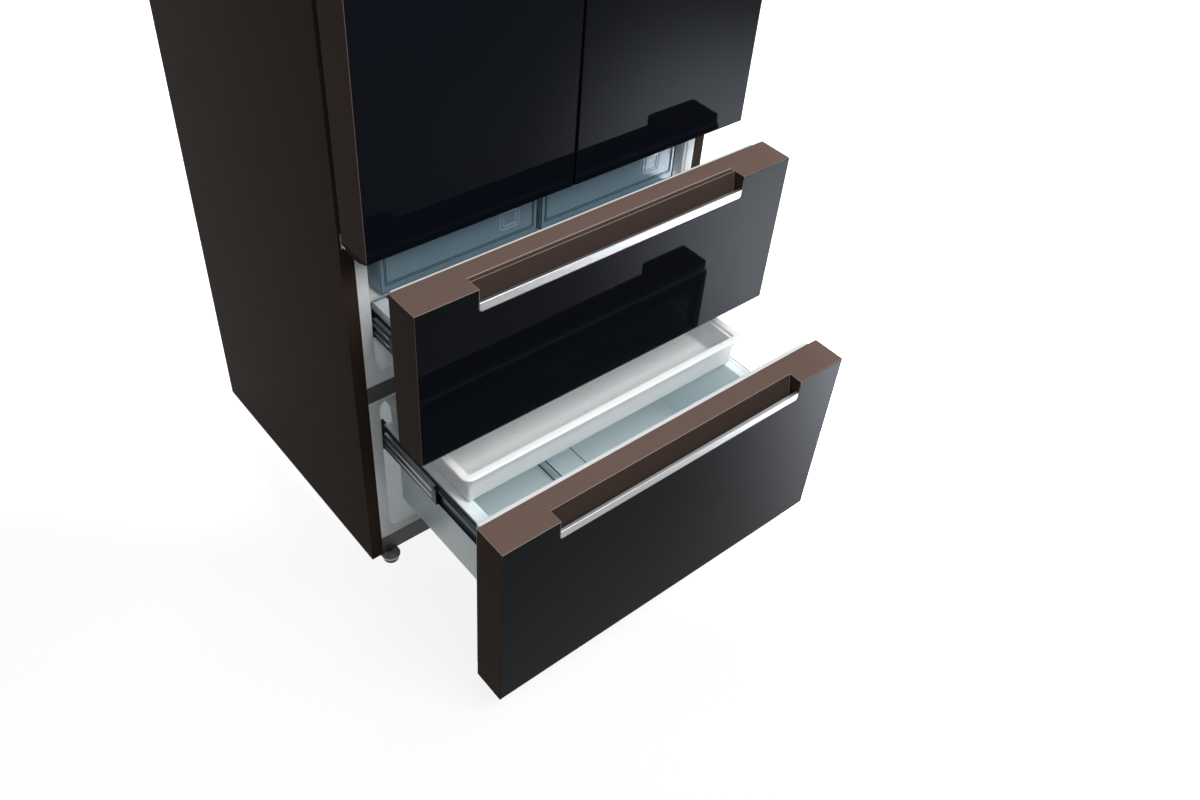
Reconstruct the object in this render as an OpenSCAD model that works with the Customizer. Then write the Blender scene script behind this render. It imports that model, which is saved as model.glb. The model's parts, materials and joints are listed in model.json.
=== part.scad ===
// Multi-door refrigerator: two upper doors over a middle and a lower freezer drawer.
// The front faces -Y, +X is to the viewer's right and +Z is up. The floor is z = 0.
// Inside the modules y = 0 is the front glass plane of the closed doors; placed() moves
// the whole model so that its box is centred on x = 0, y = 0. The drawers stand open.

/* [Cabinet] */
// Width of the cabinet and of every drawer front
body_w = 833; // [780:1:900]
// Height of the cabinet top above the floor
body_h = 1800; // [1740:5:1880]
// Height of the cabinet's underside above the floor
floor_gap = 17.5; // [16.5:0.5:22]
// Thickness of the steel skin
skin_t = 1.2; // [0.8:0.1:1.6]
// Width of the front flange
flange_w = 26; // [23:1:30]
// Thickness of the moulded liners
liner_t = 2.5; // [2:0.5:4]
// Corner radius of the cavities
cavity_r = 22; // [14:1:30]
// Width of the liner's rim beside a cavity
rim_w = 25; // [22:1:30]

/* [Compartments] */
// Height of the black bottom bar
bar_h = 49.5; // [44:0.5:56]
// Height of the lower drawer's opening
lower_open_h = 388; // [375:1:410]
// Height of the mullion between the drawers
mullion_h = 40; // [36:1:60]
// Height of the middle drawer's opening
middle_open_h = 302; // [292:1:330]
// Height of the mullion below the doors
upper_mullion_h = 71; // [68:1:90]
// Depth of the middle cavity
middle_depth = 520; // [500:1:560]
// Depth of the refrigerator cavity
fridge_depth = 545; // [520:1:570]
// Foam between the lower cavity and the machine compartment
foam_back = 32; // [28:1:45]
// Depth of the machine compartment
machine_d = 175; // [165:1:185]
// Height of the machine compartment's ceiling
machine_h = 320; // [300:1:360]

/* [Doors] */
// Thickness of a door with its glass
door_t = 74; // [68:1:84]
// Thickness of a drawer front with its glass
front_t = 72; // [68:1:80]
// Thickness of the front glass
glass_t = 4; // [3:0.5:5]
// Frame edge left showing round the glass
lip = 1.5; // [1:0.25:3]
// Wall of the door and front frames
frame_wall = 3; // [2:0.5:4]
// Gap between the two doors
door_gap = 5; // [4:0.5:8]
// Gap between the two drawer fronts
drawer_gap = 7.5; // [6:0.5:10]
// Gap between the middle front and the doors' glass
door_lift = 14.5; // [13:0.5:18]
// Drop of the rolled end cap below the glass
cap_drop = 10.6; // [8:0.2:11]
// Radius of the end cap's rear corner
cap_r = 20; // [12:1:26]
// Gap between the cabinet top and the door top
door_top_gap = 4; // [3:0.5:6]
// Depth of a seal in front of the flange
seal_d = 14; // [12:0.5:16]
// Width of a seal
seal_w = 15; // [12:0.5:16]
// Distance of a seal from the door's edge
seal_inset = 10; // [10:0.5:12]
// Height of the raised wall round a door's inner face
dyke_h = 36; // [28:1:42]
// Thickness of that raised wall
dyke_w = 22; // [18:1:26]
// Height of the door bins
door_bin_h = 86; // [70:1:100]
// Depth of the door bins behind the door's inner face
door_bin_d = 112; // [100:1:118]
// Space above the top door bins
door_bin_head = 106; // [90:1:130]
// Space between the upper door bins
door_bin_gap = 124; // [110:1:150]
// Space above the lowest door bins
bottle_gap = 144; // [120:1:170]

/* [Hinges] */
// Distance of a hinge pin from the door's side
hinge_inset = 14; // [13:0.5:15]
// Distance of a hinge pin behind the glass plane
hinge_back = 30; // [28:1:34]
// Radius of a hinge pin
pin_r = 4; // [3.5:0.1:4.5]
// Radial clearance of a pin or stem in its bore
pin_fit = 0.05; // [0.02:0.01:0.09]
// Length of a hinge pin inside the door
pin_len = 24; // [18:1:30]
// Thickness of the top hinge plates
hinge_t = 3; // [2.5:0.5:4]
// Height of the hinge covers above the cabinet
hinge_cover_h = 30; // [24:1:36]

/* [Door slot flap] */
// Width of the flap
flap_w = 84; // [78:1:88]
// Thickness of the flap
flap_t = 18; // [14:1:20]
// Distance of the flap's pivot from the centre line
flap_x = 40; // [39:0.5:42]
// Radius of the flap's pins
flap_pin_r = 3; // [2.5:0.1:3.5]

/* [Drawers] */
// How far the middle drawer stands open
middle_out = 133; // [120:1:250]
// How far the lower drawer stands open
lower_out = 365; // [300:1:400]
// Width of the grip recess
grip_w = 590; // [500:1:640]
// Depth from the top edge to the grip trim
grip_drop = 28; // [24:1:32]
// Height of the grip trim's face
trim_h = 17; // [14:1:20]
// Thickness of the grip trim's face
trim_t = 3; // [2.5:0.5:3.5]
// Depth of the grip recess in the lower front
lower_grip_d = 30; // [27:0.5:34]
// Depth of the grip recess in the middle front
middle_grip_d = 26; // [25:0.5:30]
// Width of the shallow ledge behind the middle recess
ledge_w = 9.5; // [6:0.5:12]
// Height of a telescopic rail
rail_h = 45; // [40:1:48]
// Thickness of a telescopic rail
rail_t = 12.7; // [12:0.1:13.5]
// Length of a rail member
rail_len = 400; // [350:1:450]
// Space between the rails and the lower cavity's rear wall
rail_back = 20.5; // [15:0.5:30]
// Wall of the baskets, bins and tray
tub_t = 2.5; // [2:0.25:3]
// Half width of the basket rims inside the cavity wall
rim_side_gap = 15.5; // [14.5:0.5:17]
// Width of a basket rim
basket_rim_w = 25; // [20:1:28]
// Space under the middle basket
middle_lift = 12; // [8:1:30]
// Space under the lower basket
lower_lift = 43; // [8:1:60]
// Space between the middle basket's rim and the runners above
basket_head = 13; // [8:1:20]
// Space behind the baskets when the lower drawer is closed
basket_back = 40.5; // [25:0.5:60]
// Height of the lower rim above the rails' centre
lower_rim_up = 26; // [25.5:0.5:27]
// Height of the middle rim above the rails' centre
middle_rim_up = 40; // [38:0.5:44]
// Height of the tray, which stands on the lower basket's rims
tray_h = 74; // [62:1:90]
// Space above the tray when the drawer is closed
tray_head = 6.7; // [5:0.1:12]
// Space behind the tray when the drawer is closed
tray_rear = 27.5; // [20:0.5:60]
// How far the tray stands behind the lower basket's front
tray_set = 113; // [100:1:130]

/* [Bins and crispers] */
// Height of the two clear bins
bin_h = 96; // [90:1:98]
// Depth of the two clear bins
bin_d = 350; // [320:1:370]
// Front edge of the bins behind the flange
bin_set = 4; // [3.5:0.5:8]
// Gap between the two bins
bin_gap = 8; // [6:1:12]
// Space beside the bins
bin_side = 22; // [20:1:26]
// Height of the crispers
crisper_h = 190; // [170:1:210]
// Front edge of the crispers behind the glass plane
crisper_y = 225; // [215:1:240]
// Space behind the crispers
crisper_back = 45.5; // [40:0.5:80]
// Space between the crispers and the lowest shelf
crisper_over = 30; // [20:1:45]
// Space from the middle shelf to the top shelf
shelf_space = 210; // [180:5:230]
// Space from the top shelf to the ceiling
top_space = 230; // [200:5:260]

/* [Feet and wheels] */
// Radius of a levelling foot
foot_r = 17; // [14:0.5:19]
// Height of a levelling foot's disc
foot_h = 12; // [10:0.5:13]
// Radius of a foot's stem
stem_r = 4.5; // [4:0.1:5.5]
// Distance of the feet from the cabinet's sides
foot_inset = 41; // [38:1:60]
// Radius of the rear wheels
wheel_r = 20; // [18:0.5:21]
// Width of the rear wheels
wheel_w = 18; // [14:1:24]
// Radius of the rear axle
axle_r = 4; // [3.5:0.1:5]

/* [Cooling] */
// Radius of the compressor's shell
comp_r = 62; // [56:1:66]
// Height of the compressor's shell
comp_h = 170; // [150:1:180]
// Outer radius of the condenser tube
coil_r = 3; // [2.5:0.25:3.5]
// Radius of the condenser fan
fan_r = 60; // [50:1:62]
// Radius of the evaporator fan
evap_fan_r = 45; // [38:1:50]

/* [Hidden] */
$fn = 40;
seat = 0.2;
run = 0.3;
half = body_w / 2;
open_x = half - flange_w;
cav_x = open_x - rim_w;
flange_y = door_t + seal_d;
rail_y = flange_y + 7;
lower_back = rail_y + rail_len + rail_back;
lower_depth = lower_back + liner_t - flange_y;
machine_y = flange_y + lower_depth + foam_back;
back_y = machine_y + machine_d;
origin_y = (back_y - lower_out) / 2;
fridge_back = flange_y + fridge_depth - liner_t;
back_lip = 18;
mullion_d = 40;
bar_d = 24;
bar_top = floor_gap + bar_h;
lower_top = bar_top + lower_open_h;
middle_z = lower_top + mullion_h;
middle_top = middle_z + middle_open_h;
fridge_z = middle_top + upper_mullion_h;
fridge_top = body_h - flange_w;
lower_sill = 18;
middle_sill = 24;
fridge_sill = 12;
drawer_head = 10;
fridge_head = 14;
lower_floor = bar_top + lower_sill;
lower_ceil = lower_top - drawer_head;
middle_floor = middle_z + middle_sill;
middle_ceil = middle_top - drawer_head;
fridge_floor = fridge_z + fridge_sill;
fridge_ceil = fridge_top - fridge_head;

bar_cover = 8;
lower_over = 31.5;
middle_over = 26.5;
lower_front_z = bar_top - bar_cover;
lower_front_top = lower_top + lower_over;
middle_front_z = lower_front_top + drawer_gap;
middle_front_top = middle_top + middle_over;
door_z = middle_front_top + door_lift;
door_top = body_h - door_top_gap;
grip_end_z = grip_drop + trim_h;
pocket_below = 19;
pocket_h = grip_end_z + pocket_below;
panel_gap = 3;
panel_y = flange_y - panel_gap;
sheet_t = 1.5;
cap_flat = 16;
dyke_inset = half - cav_x + 5;

hinge_x = half - hinge_inset;
pivot_y = flange_y + run + flap_t / 2;
flap_z0 = fridge_floor + 8;
flap_z1 = fridge_ceil - 8;
ear_t = 5;
hinge_boss = 10;
hinge_arm = 45;
hinge_tail = 150;
angle_w = 20;
angle_z = middle_front_top + 0.6;
angle_t = door_lift - cap_drop - 1.2;
cover_x = half - 92;
cover_front = 10;
cover_end = 170;

middle_lip_h = 20;
lower_lip_h = 6;
rail_gap = 0.5;
rail_wall = 1.9;
rail_web = 1.4;
middle_u = rail_web + 1;
inner_u = middle_u + rail_web + 1.7;
basket_x = cav_x - rim_side_gap;
hook_x = basket_x - 8;
bin_z = middle_ceil - 5 - bin_h;
bin_y = flange_y + bin_set;
runner_h = 10;
runner_w = 14;
middle_rim_z = bin_z - runner_h - basket_head;
middle_rail_z = middle_rim_z - middle_rim_up;
lower_rim_z = lower_ceil - tray_head - tray_h - run;
lower_rail_z = lower_rim_z - lower_rim_up;
basket_len = lower_back - basket_back - panel_y;
tray_d = lower_back - tray_rear - panel_y - tray_set;
crisper_d = fridge_back - crisper_back - crisper_y;
shelf_end = fridge_back - 37.5;
shelf_t = 4;
trim_w = 12;

foot_x = half - foot_inset;
foot_y = flange_y - stem_r - 1.5;
axle_z = wheel_r;
axle_y = back_y - 55;
wheel_x = half - 48;
plate_z = floor_gap + 14;
plate_top = plate_z + 2;
fan_y = machine_y + 60;
fan_x = -62;
fan_z = 150;
fan_rim = 12;
fan_run = 40;
comp_x = 166.5 - half;
comp_y = machine_y + machine_d / 2 - 5.5;
comp_foot = [11, 14];
comp_foot_x = 70;
comp_foot_y = 45;
comp_plate = [170, 114, 3];
comp_box = [24, 44, 60];
comp_low_r = 24;
comp_high_r = 34;
seam = 8;
motor_r = 22;
motor_len = 26;
arm_x = 15;
arm_w = 8;
cover_t = 1.5;
cover_y = back_y - skin_t - cover_t;
coil_y = machine_y + 22;
coil_x = [22, half - 116.5];
coil_pitch = 26;
coil_rows = 8;
coil_z = 60;
drip_x = [60, half - 86.5];
drip_y = machine_y + 62;
drip_d = 88;
drip_h = 40;
inlet_x = [82.5 - half, 130.5 - half];
inlet_z = 66;
inlet_h = 38;
inlet_d = 22;
evap_y = flange_y + middle_depth - 95;
evap_fan_z = middle_ceil - evap_fan_r - 15;
fin_y = evap_y + 24;
fin_d = 56;
fan_cover_t = 4;
vent_w = 60;
vent_h = 10;
vent_pitch = 90;
slot_pitch = 11;
shelf_z = [fridge_floor + crisper_h + crisper_over, fridge_ceil - top_space - shelf_space,
  fridge_ceil - top_space];
top_bin_z = fridge_ceil - door_bin_head - door_bin_h;
mid_bin_z = top_bin_z - door_bin_gap - door_bin_h;
door_bin_z = [mid_bin_z - bottle_gap - door_bin_h, mid_bin_z, top_bin_z];
duct_w = 240;
duct_t = 30;
lamp_w = 220;
lamp_d = 90;
lamp_h = 14;

// Places a piece drawn from the glass plane into the model's own frame
module placed() translate([0, -origin_y, 0]) children();

// A block between two corners
module block(x0, x1, y0, y1, z0, z1) translate([x0, y0, z0]) cube([x1 - x0, y1 - y0, z1 - z0]);

// An outline in x and z, carried from y0 to y1
module along_y(y0, y1) translate([0, y1, 0]) rotate([90, 0, 0]) linear_extrude(y1 - y0) children();

// An outline in y and z, carried from x0 to x1
module along_x(x0, x1) translate([x0, 0, 0]) rotate([90, 0, 90]) linear_extrude(x1 - x0) children();

// A rectangle between two corners, with round corners
module rounded(x0, x1, z0, z1, r) {
  translate([x0 + r, z0]) square([x1 - x0 - 2 * r, z1 - z0]);
  translate([x0, z0 + r]) square([x1 - x0, z1 - z0 - 2 * r]);
  for (x = [x0 + r, x1 - r], z = [z0 + r, z1 - r]) translate([x, z]) circle(r);
}

// A rectangle between two corners
module plain(x0, x1, z0, z1) translate([x0, z0]) square([x1 - x0, z1 - z0]);

// The same piece on the left and on the right
module both_sides() {
  children();
  mirror([1, 0, 0]) children();
}

// Cabinet

// Two side panels and a top panel, each with its front flange and rear lip
module cabinet_shell() color([0.23, 0.17, 0.16]) placed() difference() {
  block(-half, half, flange_y, back_y, floor_gap, body_h);
  block(-half + skin_t, half - skin_t, flange_y + skin_t, back_y - skin_t,
    floor_gap - 1, body_h - skin_t);
  block(-open_x, open_x, flange_y - 1, back_y, floor_gap - 1, fridge_top);
  block(-half + back_lip, half - back_lip, back_y - 5, back_y + 1, floor_gap - 1,
    body_h - back_lip);
  both_sides() {
    block(half - skin_t - seat, half - skin_t, flange_y - 1, back_y + 1, fridge_top, body_h + 1);
    block(open_x - 1, half - skin_t, flange_y - 1, back_y + 1, fridge_top, fridge_top + seat);
  }
}

module back_panel() color([0.62, 0.63, 0.64]) placed() {
  back_in = back_y - skin_t;
  difference() {
    block(-half + skin_t, half - skin_t, back_in - skin_t, back_in,
      machine_h, body_h - skin_t);
    for (z = [machine_h + 250 : 300 : body_h - 200])
      along_y(back_in - 0.5, back_in + 1) rounded(-280, 280, z, z + 24, 10);
  }
}

module liner_outside(z0, z1, depth, floor_z, ceil_z, gap) {
  block(-open_x, open_x, flange_y, flange_y + liner_t + gap, z0, z1);
  along_y(flange_y, flange_y + depth + gap) rounded(-cav_x - liner_t - gap,
    cav_x + liner_t + gap, floor_z - liner_t - gap, ceil_z + liner_t + gap,
    cavity_r + liner_t + gap);
}

module liner_tub(z0, z1, depth, floor_z, ceil_z) difference() {
  liner_outside(z0, z1, depth, floor_z, ceil_z, 0);
  along_y(flange_y - 1, flange_y + depth - liner_t)
    rounded(-cav_x, cav_x, floor_z, ceil_z, cavity_r);
}

module insulation() color([0.9, 0.85, 0.6]) placed() difference() {
  block(-half + skin_t, half - skin_t, flange_y + skin_t, back_y - 2 * skin_t,
    floor_gap + skin_t, body_h - skin_t);
  liner_outside(fridge_z, fridge_top, fridge_depth, fridge_floor, fridge_ceil, seat);
  liner_outside(middle_z, middle_top, middle_depth, middle_floor, middle_ceil, seat);
  liner_outside(bar_top, lower_top, lower_depth, lower_floor, lower_ceil, seat);
  block(-open_x - seat, open_x + seat, flange_y, flange_y + mullion_d + seat,
    lower_top - 1, middle_z + 1);
  block(-open_x - seat, open_x + seat, flange_y, flange_y + mullion_d + seat,
    middle_top - 1, fridge_z + 1);
  block(-open_x - seat, open_x + seat, flange_y, flange_y + bar_d + 1, floor_gap,
    bar_top + seat);
  block(-half, half, machine_y - skin_t, back_y, floor_gap, machine_h + skin_t);
}

module fridge_liner() color([0.95, 0.95, 0.94]) placed() {
  liner_tub(fridge_z, fridge_top, fridge_depth, fridge_floor, fridge_ceil);
  // ledges that carry the shelves
  both_sides() for (z = shelf_z)
    block(cav_x - 9, cav_x - seat, crisper_y + 1, shelf_end, z - 10, z);
}

module middle_liner() color([0.93, 0.94, 0.95]) placed() {
  liner_tub(middle_z, middle_top, middle_depth, middle_floor, middle_ceil);
  // the runner frame that carries the two bins
  both_sides() block(cav_x - bin_side - 10, cav_x - seat, bin_y + 8, bin_y + bin_d,
    bin_z - runner_h, bin_z - run);
  for (y = [bin_y + 8, bin_y + bin_d - runner_w])
    block(seat - cav_x, cav_x - seat, y, y + runner_w, bin_z - runner_h, bin_z - run);
  block(-runner_w, runner_w, bin_y + 8, bin_y + bin_d, bin_z - runner_h, bin_z - run);
  // posts that carry the evaporator cover
  both_sides() block(cav_x - 14, cav_x - seat, evap_y + fan_cover_t, evap_y + 16,
    middle_floor + cavity_r, middle_ceil - cavity_r);
}

module lower_liner() color([0.93, 0.94, 0.95]) placed()
  liner_tub(bar_top, lower_top, lower_depth, lower_floor, lower_ceil);

module mullions() color([0.19, 0.18, 0.17]) placed() {
  block(-open_x, open_x, flange_y, flange_y + mullion_d, lower_top, middle_z);
  block(-open_x, open_x, flange_y, flange_y + mullion_d, middle_top, fridge_z);
}

module bottom_bar() color([0.1, 0.1, 0.1]) placed() difference() {
  block(-open_x, open_x, flange_y, flange_y + bar_d, floor_gap, bar_top);
  block(-open_x + 4, open_x - 4, flange_y + 4, flange_y + bar_d + 1, floor_gap + skin_t + 4,
    bar_top - 4);
}

// The stepped floor, the compressor's plate, the axle ears and the foot brackets
module base_plate() color([0.32, 0.33, 0.34]) placed() difference() {
  union() {
    block(-half + skin_t, half - skin_t, flange_y + bar_d, machine_y, floor_gap,
      floor_gap + skin_t);
    block(-half + skin_t, half - skin_t, machine_y - skin_t, machine_y, floor_gap,
      machine_h + skin_t);
    block(-half + skin_t, half - skin_t, machine_y - skin_t, back_y - 2 * skin_t,
      machine_h, machine_h + skin_t);
    block(-half + skin_t, half - skin_t, machine_y - skin_t, cover_y, plate_z, plate_top);
    both_sides() {
      for (x = [wheel_x - wheel_w / 2 - 5, wheel_x + wheel_w / 2 + 2])
        block(x, x + 3, axle_y - 14, axle_y + 14, axle_z - 9, plate_z + 1);
      difference() {
        union() {
          block(foot_x - foot_r - 3, foot_x + foot_r + 3, foot_y, flange_y + 60,
            floor_gap - 3, floor_gap);
          translate([foot_x, foot_y, floor_gap - 3]) cylinder(r = foot_r + 3, h = 3);
        }
        translate([foot_x, foot_y, floor_gap - 4]) cylinder(r = stem_r + pin_fit, h = 5);
      }
    }
  }
  both_sides() {
    block(wheel_x - wheel_w / 2 - 1.5, wheel_x + wheel_w / 2 + 1.5, axle_y - wheel_r - 3,
      axle_y + wheel_r + 3, axle_z, plate_z + 3);
    translate([wheel_x - 30, axle_y, axle_z]) rotate([0, 90, 0])
      cylinder(r = axle_r + pin_fit, h = 60);
  }
}

module machine_cover() color([0.28, 0.29, 0.3]) placed() {
  difference() {
    block(-half + skin_t + 1, half - skin_t - 1, cover_y, cover_y + cover_t, plate_top,
      machine_h);
    for (x = [-330 : 22 : 330], z = [90, 180])
      if (x > -120) along_y(cover_y - 1, cover_y + 3) rounded(x, x + 8, z, z + 70, 3.9);
    along_y(cover_y - 1, cover_y + 3) rounded(inlet_x[0] + 4, inlet_x[1] - 4, inlet_z + 4,
      inlet_z + inlet_h - 4, 4);
  }
}

module compressor() color([0.08, 0.08, 0.09]) placed()
  translate([comp_x, comp_y, plate_top]) {
    // four rubber feet, a foot plate, the shell with its welded seam and a terminal box
    for (x = [-comp_foot_x, comp_foot_x], y = [-comp_foot_y, comp_foot_y])
      translate([x, y, 0]) cylinder(r = comp_foot[0], h = comp_foot[1]);
    translate([-comp_plate[0] / 2, -comp_plate[1] / 2, comp_foot[1]]) cube(comp_plate);
    translate([0, 0, comp_foot[1] + comp_plate[2]]) rotate_extrude() polygon(concat([[0, 0]],
      [for (a = [-90 : 15 : 0])
        [comp_r - comp_low_r * (1 - cos(a)), comp_low_r * (1 + sin(a))]],
      [[comp_r, (comp_h - seam) / 2], [comp_r + 3, (comp_h - seam) / 2],
       [comp_r + 3, (comp_h + seam) / 2], [comp_r, (comp_h + seam) / 2]],
      [for (a = [0 : 15 : 90])
        [comp_r - comp_high_r * (1 - cos(a)), comp_h - comp_high_r * (1 - sin(a))]],
      [[0, comp_h]]));
    translate([comp_r - 4, -comp_box[1] / 2, comp_box[2]]) cube(comp_box);
  }

// A tube along a path of [x, z] points in the plane y = 0
module flat_tube(path, r, sides) {
  n = len(path);
  turn = [for (i = [0 : n - 1]) let (d = path[min(i + 1, n - 1)] - path[max(i - 1, 0)]) d / norm(d)];
  points = [for (i = [0 : n - 1], k = [0 : sides - 1]) let (a = k * 360 / sides)
    [path[i][0] - turn[i][1] * r * cos(a), r * sin(a), path[i][1] + turn[i][0] * r * cos(a)]];
  walls = [for (i = [0 : n - 2], k = [0 : sides - 1]) let (j = (k + 1) % sides)
    each [[i * sides + k, i * sides + j, (i + 1) * sides + j],
          [i * sides + k, (i + 1) * sides + j, (i + 1) * sides + k]]];
  ends = [[for (k = [sides - 1 : -1 : 0]) k], [for (k = [0 : sides - 1]) (n - 1) * sides + k]];
  polyhedron(points, concat(walls, ends));
}

// A flat coil of tube in straight runs joined by half rings, on two uprights
module condenser() color([0.12, 0.12, 0.13]) placed() {
  path = [for (i = [0 : coil_rows - 1])
    each concat([[coil_x[i % 2], coil_z + i * coil_pitch]],
      i == coil_rows - 1 ? [[coil_x[coil_rows % 2], coil_z + i * coil_pitch]] :
      [for (a = [-90 : 22.5 : 67.5]) let (side = i % 2 == 0 ? 1 : -1)
        [coil_x[(i + 1) % 2] + side * coil_pitch / 2 * cos(a), coil_z + (i + 0.5) * coil_pitch
          + coil_pitch / 2 * sin(a)]])];
  translate([0, coil_y, 0]) {
    flat_tube(path, coil_r, 10);
    for (x = [coil_x[0] + 38, coil_x[1] - 50]) block(x, x + 4, coil_r - 1, coil_r + 2,
      plate_top, coil_z + coil_rows * coil_pitch);
  }
}

// The shroud with a round mouth and the motor on three arms
module fan_bracket() color([0.2, 0.21, 0.22]) placed() {
  difference() {
    block(fan_x - fan_r - fan_rim, fan_x + fan_r + fan_rim, fan_y, fan_y + 4, plate_top,
      fan_z + fan_r + fan_rim);
    translate([fan_x, fan_y + 5, fan_z]) rotate([90, 0, 0]) cylinder(r = fan_r + 5, h = 6);
  }
  for (a = [90, 210, 330]) translate([fan_x, fan_y, fan_z]) rotate([-90, 0, 0])
    rotate([0, 0, a]) translate([arm_x, -arm_w / 2, 0.6])
      cube([fan_r + fan_rim - 4 - arm_x, arm_w, 2.8]);
  translate([fan_x, fan_y, fan_z]) rotate([90, 0, 0]) difference() {
    translate([0, 0, -4]) cylinder(r = motor_r, h = motor_len);
    translate([0, 0, 8]) cylinder(r = 2.5 + pin_fit, h = 20);
  }
}

module drip_tray() color([0.75, 0.76, 0.74]) placed() difference() {
  block(drip_x[0], drip_x[1], drip_y, drip_y + drip_d, plate_top, plate_top + drip_h);
  block(drip_x[0] + 2, drip_x[1] - 2, drip_y + 2, drip_y + drip_d - 2, plate_top + 2,
    plate_top + drip_h + 1);
}

module power_inlet() color([0.05, 0.05, 0.05]) placed() {
  difference() {
    along_y(cover_y - inlet_d, cover_y) rounded(inlet_x[0], inlet_x[1], inlet_z,
      inlet_z + inlet_h, 4);
    along_y(cover_y - inlet_d + 6, cover_y + 1) rounded(inlet_x[0] + 8, inlet_x[1] - 8,
      inlet_z + 8, inlet_z + inlet_h - 8, 4);
  }
  for (x = [inlet_x[0] + 16, (inlet_x[0] + inlet_x[1]) / 2, inlet_x[1] - 16])
    block(x - 1.5, x + 1.5, cover_y - inlet_d + 5, cover_y - 5, inlet_z + 14, inlet_z + 18);
}

module evaporator() color([0.8, 0.81, 0.82]) placed() {
  fin_z = [middle_floor + 30, evap_fan_z - evap_fan_r - 15];
  for (x = [-300 : 20 : 300])
    block(x, x + 1, fin_y, fin_y + fin_d, fin_z[0], fin_z[1]);
  for (z = [fin_z[0] + 12, fin_z[1] - 12], y = [fin_y + 14, fin_y + fin_d - 14])
    translate([-cav_x + 6, y, z]) rotate([0, 90, 0])
      cylinder(r = 4, h = 2 * cav_x - 12, $fn = 16);
  both_sides() block(cav_x - 8, cav_x - seat, fin_y, fin_y + fin_d,
    fin_z[0] - 10, fin_z[1] + 4);
}

module evaporator_cover() color([0.9, 0.91, 0.92]) placed() difference() {
  union() {
    along_y(evap_y, evap_y + fan_cover_t) rounded(-cav_x + 0.5, cav_x - 0.5, middle_floor + 0.5,
      middle_ceil - 0.5, cavity_r);
    translate([0, evap_y + fan_cover_t, evap_fan_z]) rotate([-90, 0, 0])
      cylinder(r = evap_fan_r + 5, h = 30);
  }
  translate([0, evap_y + 2, evap_fan_z]) rotate([-90, 0, 0])
    cylinder(r = evap_fan_r + 2.5, h = 40);
  for (i = [-3 : 3]) along_y(evap_y - 1, evap_y + fan_cover_t + 1)
    rounded(i * vent_pitch - vent_w / 2, i * vent_pitch + vent_w / 2, middle_floor + 40,
      middle_floor + 40 + vent_h, 4.5);
  for (i = [-3, -2, -1, 1, 2, 3]) along_y(evap_y - 1, evap_y + fan_cover_t + 1)
    rounded(i * slot_pitch - 3, i * slot_pitch + 3, evap_fan_z - vent_w / 2,
      evap_fan_z + vent_w / 2, 2.9);
  translate([0, evap_y - 1, evap_fan_z]) rotate([-90, 0, 0]) cylinder(r = 2 + pin_fit, h = 9);
}

module air_duct() color([0.95, 0.95, 0.95]) placed() {
  difference() {
    along_y(fridge_back - duct_t, fridge_back) rounded(-duct_w / 2, duct_w / 2, fridge_floor + 30,
      fridge_ceil - 20, 12);
    along_y(fridge_back - duct_t + 3, fridge_back + 1) rounded(-duct_w / 2 + 3, duct_w / 2 - 3,
      fridge_floor + 33, fridge_ceil - 23, 9);
    for (z = shelf_z, i = [0 : 3], x = [-85, 25]) along_y(fridge_back - duct_t - 1,
      fridge_back - 20)
      rounded(x, x + 60, z + 60 + i * 12, z + 66 + i * 12, 2.9);
  }
}

module glass_shelves() color([0.75, 0.87, 0.9, 0.5]) placed() for (z = shelf_z) {
  block(-cav_x + 1.5, cav_x - 1.5, crisper_y, shelf_end, z, z + shelf_t);
  block(-cav_x + 1.5, cav_x - 1.5, crisper_y - trim_w, crisper_y - seat, z - 4, z + 10);
}

module interior_lamp() color([0.98, 0.98, 0.95]) placed()
  along_y(flange_y + flap_w + 24, flange_y + flap_w + 24 + lamp_d)
    rounded(-lamp_w / 2, lamp_w / 2, fridge_ceil - lamp_h, fridge_ceil, 5);

// A plate on the cabinet's top with a pin that points down, and an angle on the upper
// mullion's flange with a pin that points up, on each side
module hinge_brackets() color([0.55, 0.56, 0.57]) placed() both_sides() {
  block(hinge_x - hinge_arm, hinge_x + hinge_boss, hinge_back, hinge_tail, body_h,
    body_h + hinge_t);
  translate([hinge_x, hinge_back, body_h]) cylinder(r = hinge_boss, h = hinge_t);
  block(hinge_x - hinge_arm, hinge_x, hinge_back - hinge_boss, hinge_back + 1, body_h,
    body_h + hinge_t);
  translate([hinge_x, hinge_back, door_top - pin_len]) cylinder(r = pin_r,
    h = pin_len + door_top_gap + 1);
  block(half - angle_w - 4, half - 4, flange_y - 3, flange_y, angle_z - 7, angle_z + 22);
  block(half - angle_w - 4, half - 4, hinge_back, flange_y, angle_z, angle_z + angle_t);
  translate([hinge_x, hinge_back, angle_z]) cylinder(r = hinge_boss, h = angle_t);
  translate([hinge_x, hinge_back, angle_z]) cylinder(r = pin_r, h = pin_len + 4);
}

module hinge_covers() color([0.2, 0.19, 0.19]) placed() both_sides() difference() {
  translate([0, 0, body_h]) linear_extrude(hinge_cover_h)
    rounded(cover_x, half - 2, cover_front, cover_end, 9);
  translate([0, 0, body_h - 1]) linear_extrude(hinge_cover_h - 2)
    rounded(cover_x + 2, half - 4, cover_front + 2, cover_end - 2, 7);
}

// Telescopic rails. Each member is a channel; u counts inwards from the cavity's wall.

module rail_half(u0, u1, web_at, h0) {
  for (s = [-1, 1]) plain(cav_x - u1, cav_x - u0, s > 0 ? h0 - rail_wall : -h0,
    s > 0 ? h0 : rail_wall - h0);
  plain(cav_x - web_at - rail_web, cav_x - web_at, -h0, h0);
}

module rail_outer() rail_half(0, rail_t - 2.5, 0, rail_h / 2);

module rail_middle() rail_half(middle_u, rail_t - rail_web - rail_gap, middle_u,
  rail_h / 2 - rail_wall - rail_gap);

module rail_inner() rail_half(inner_u, rail_t, rail_t - rail_web,
  rail_h / 2 - 2 * (rail_wall + rail_gap));

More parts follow.
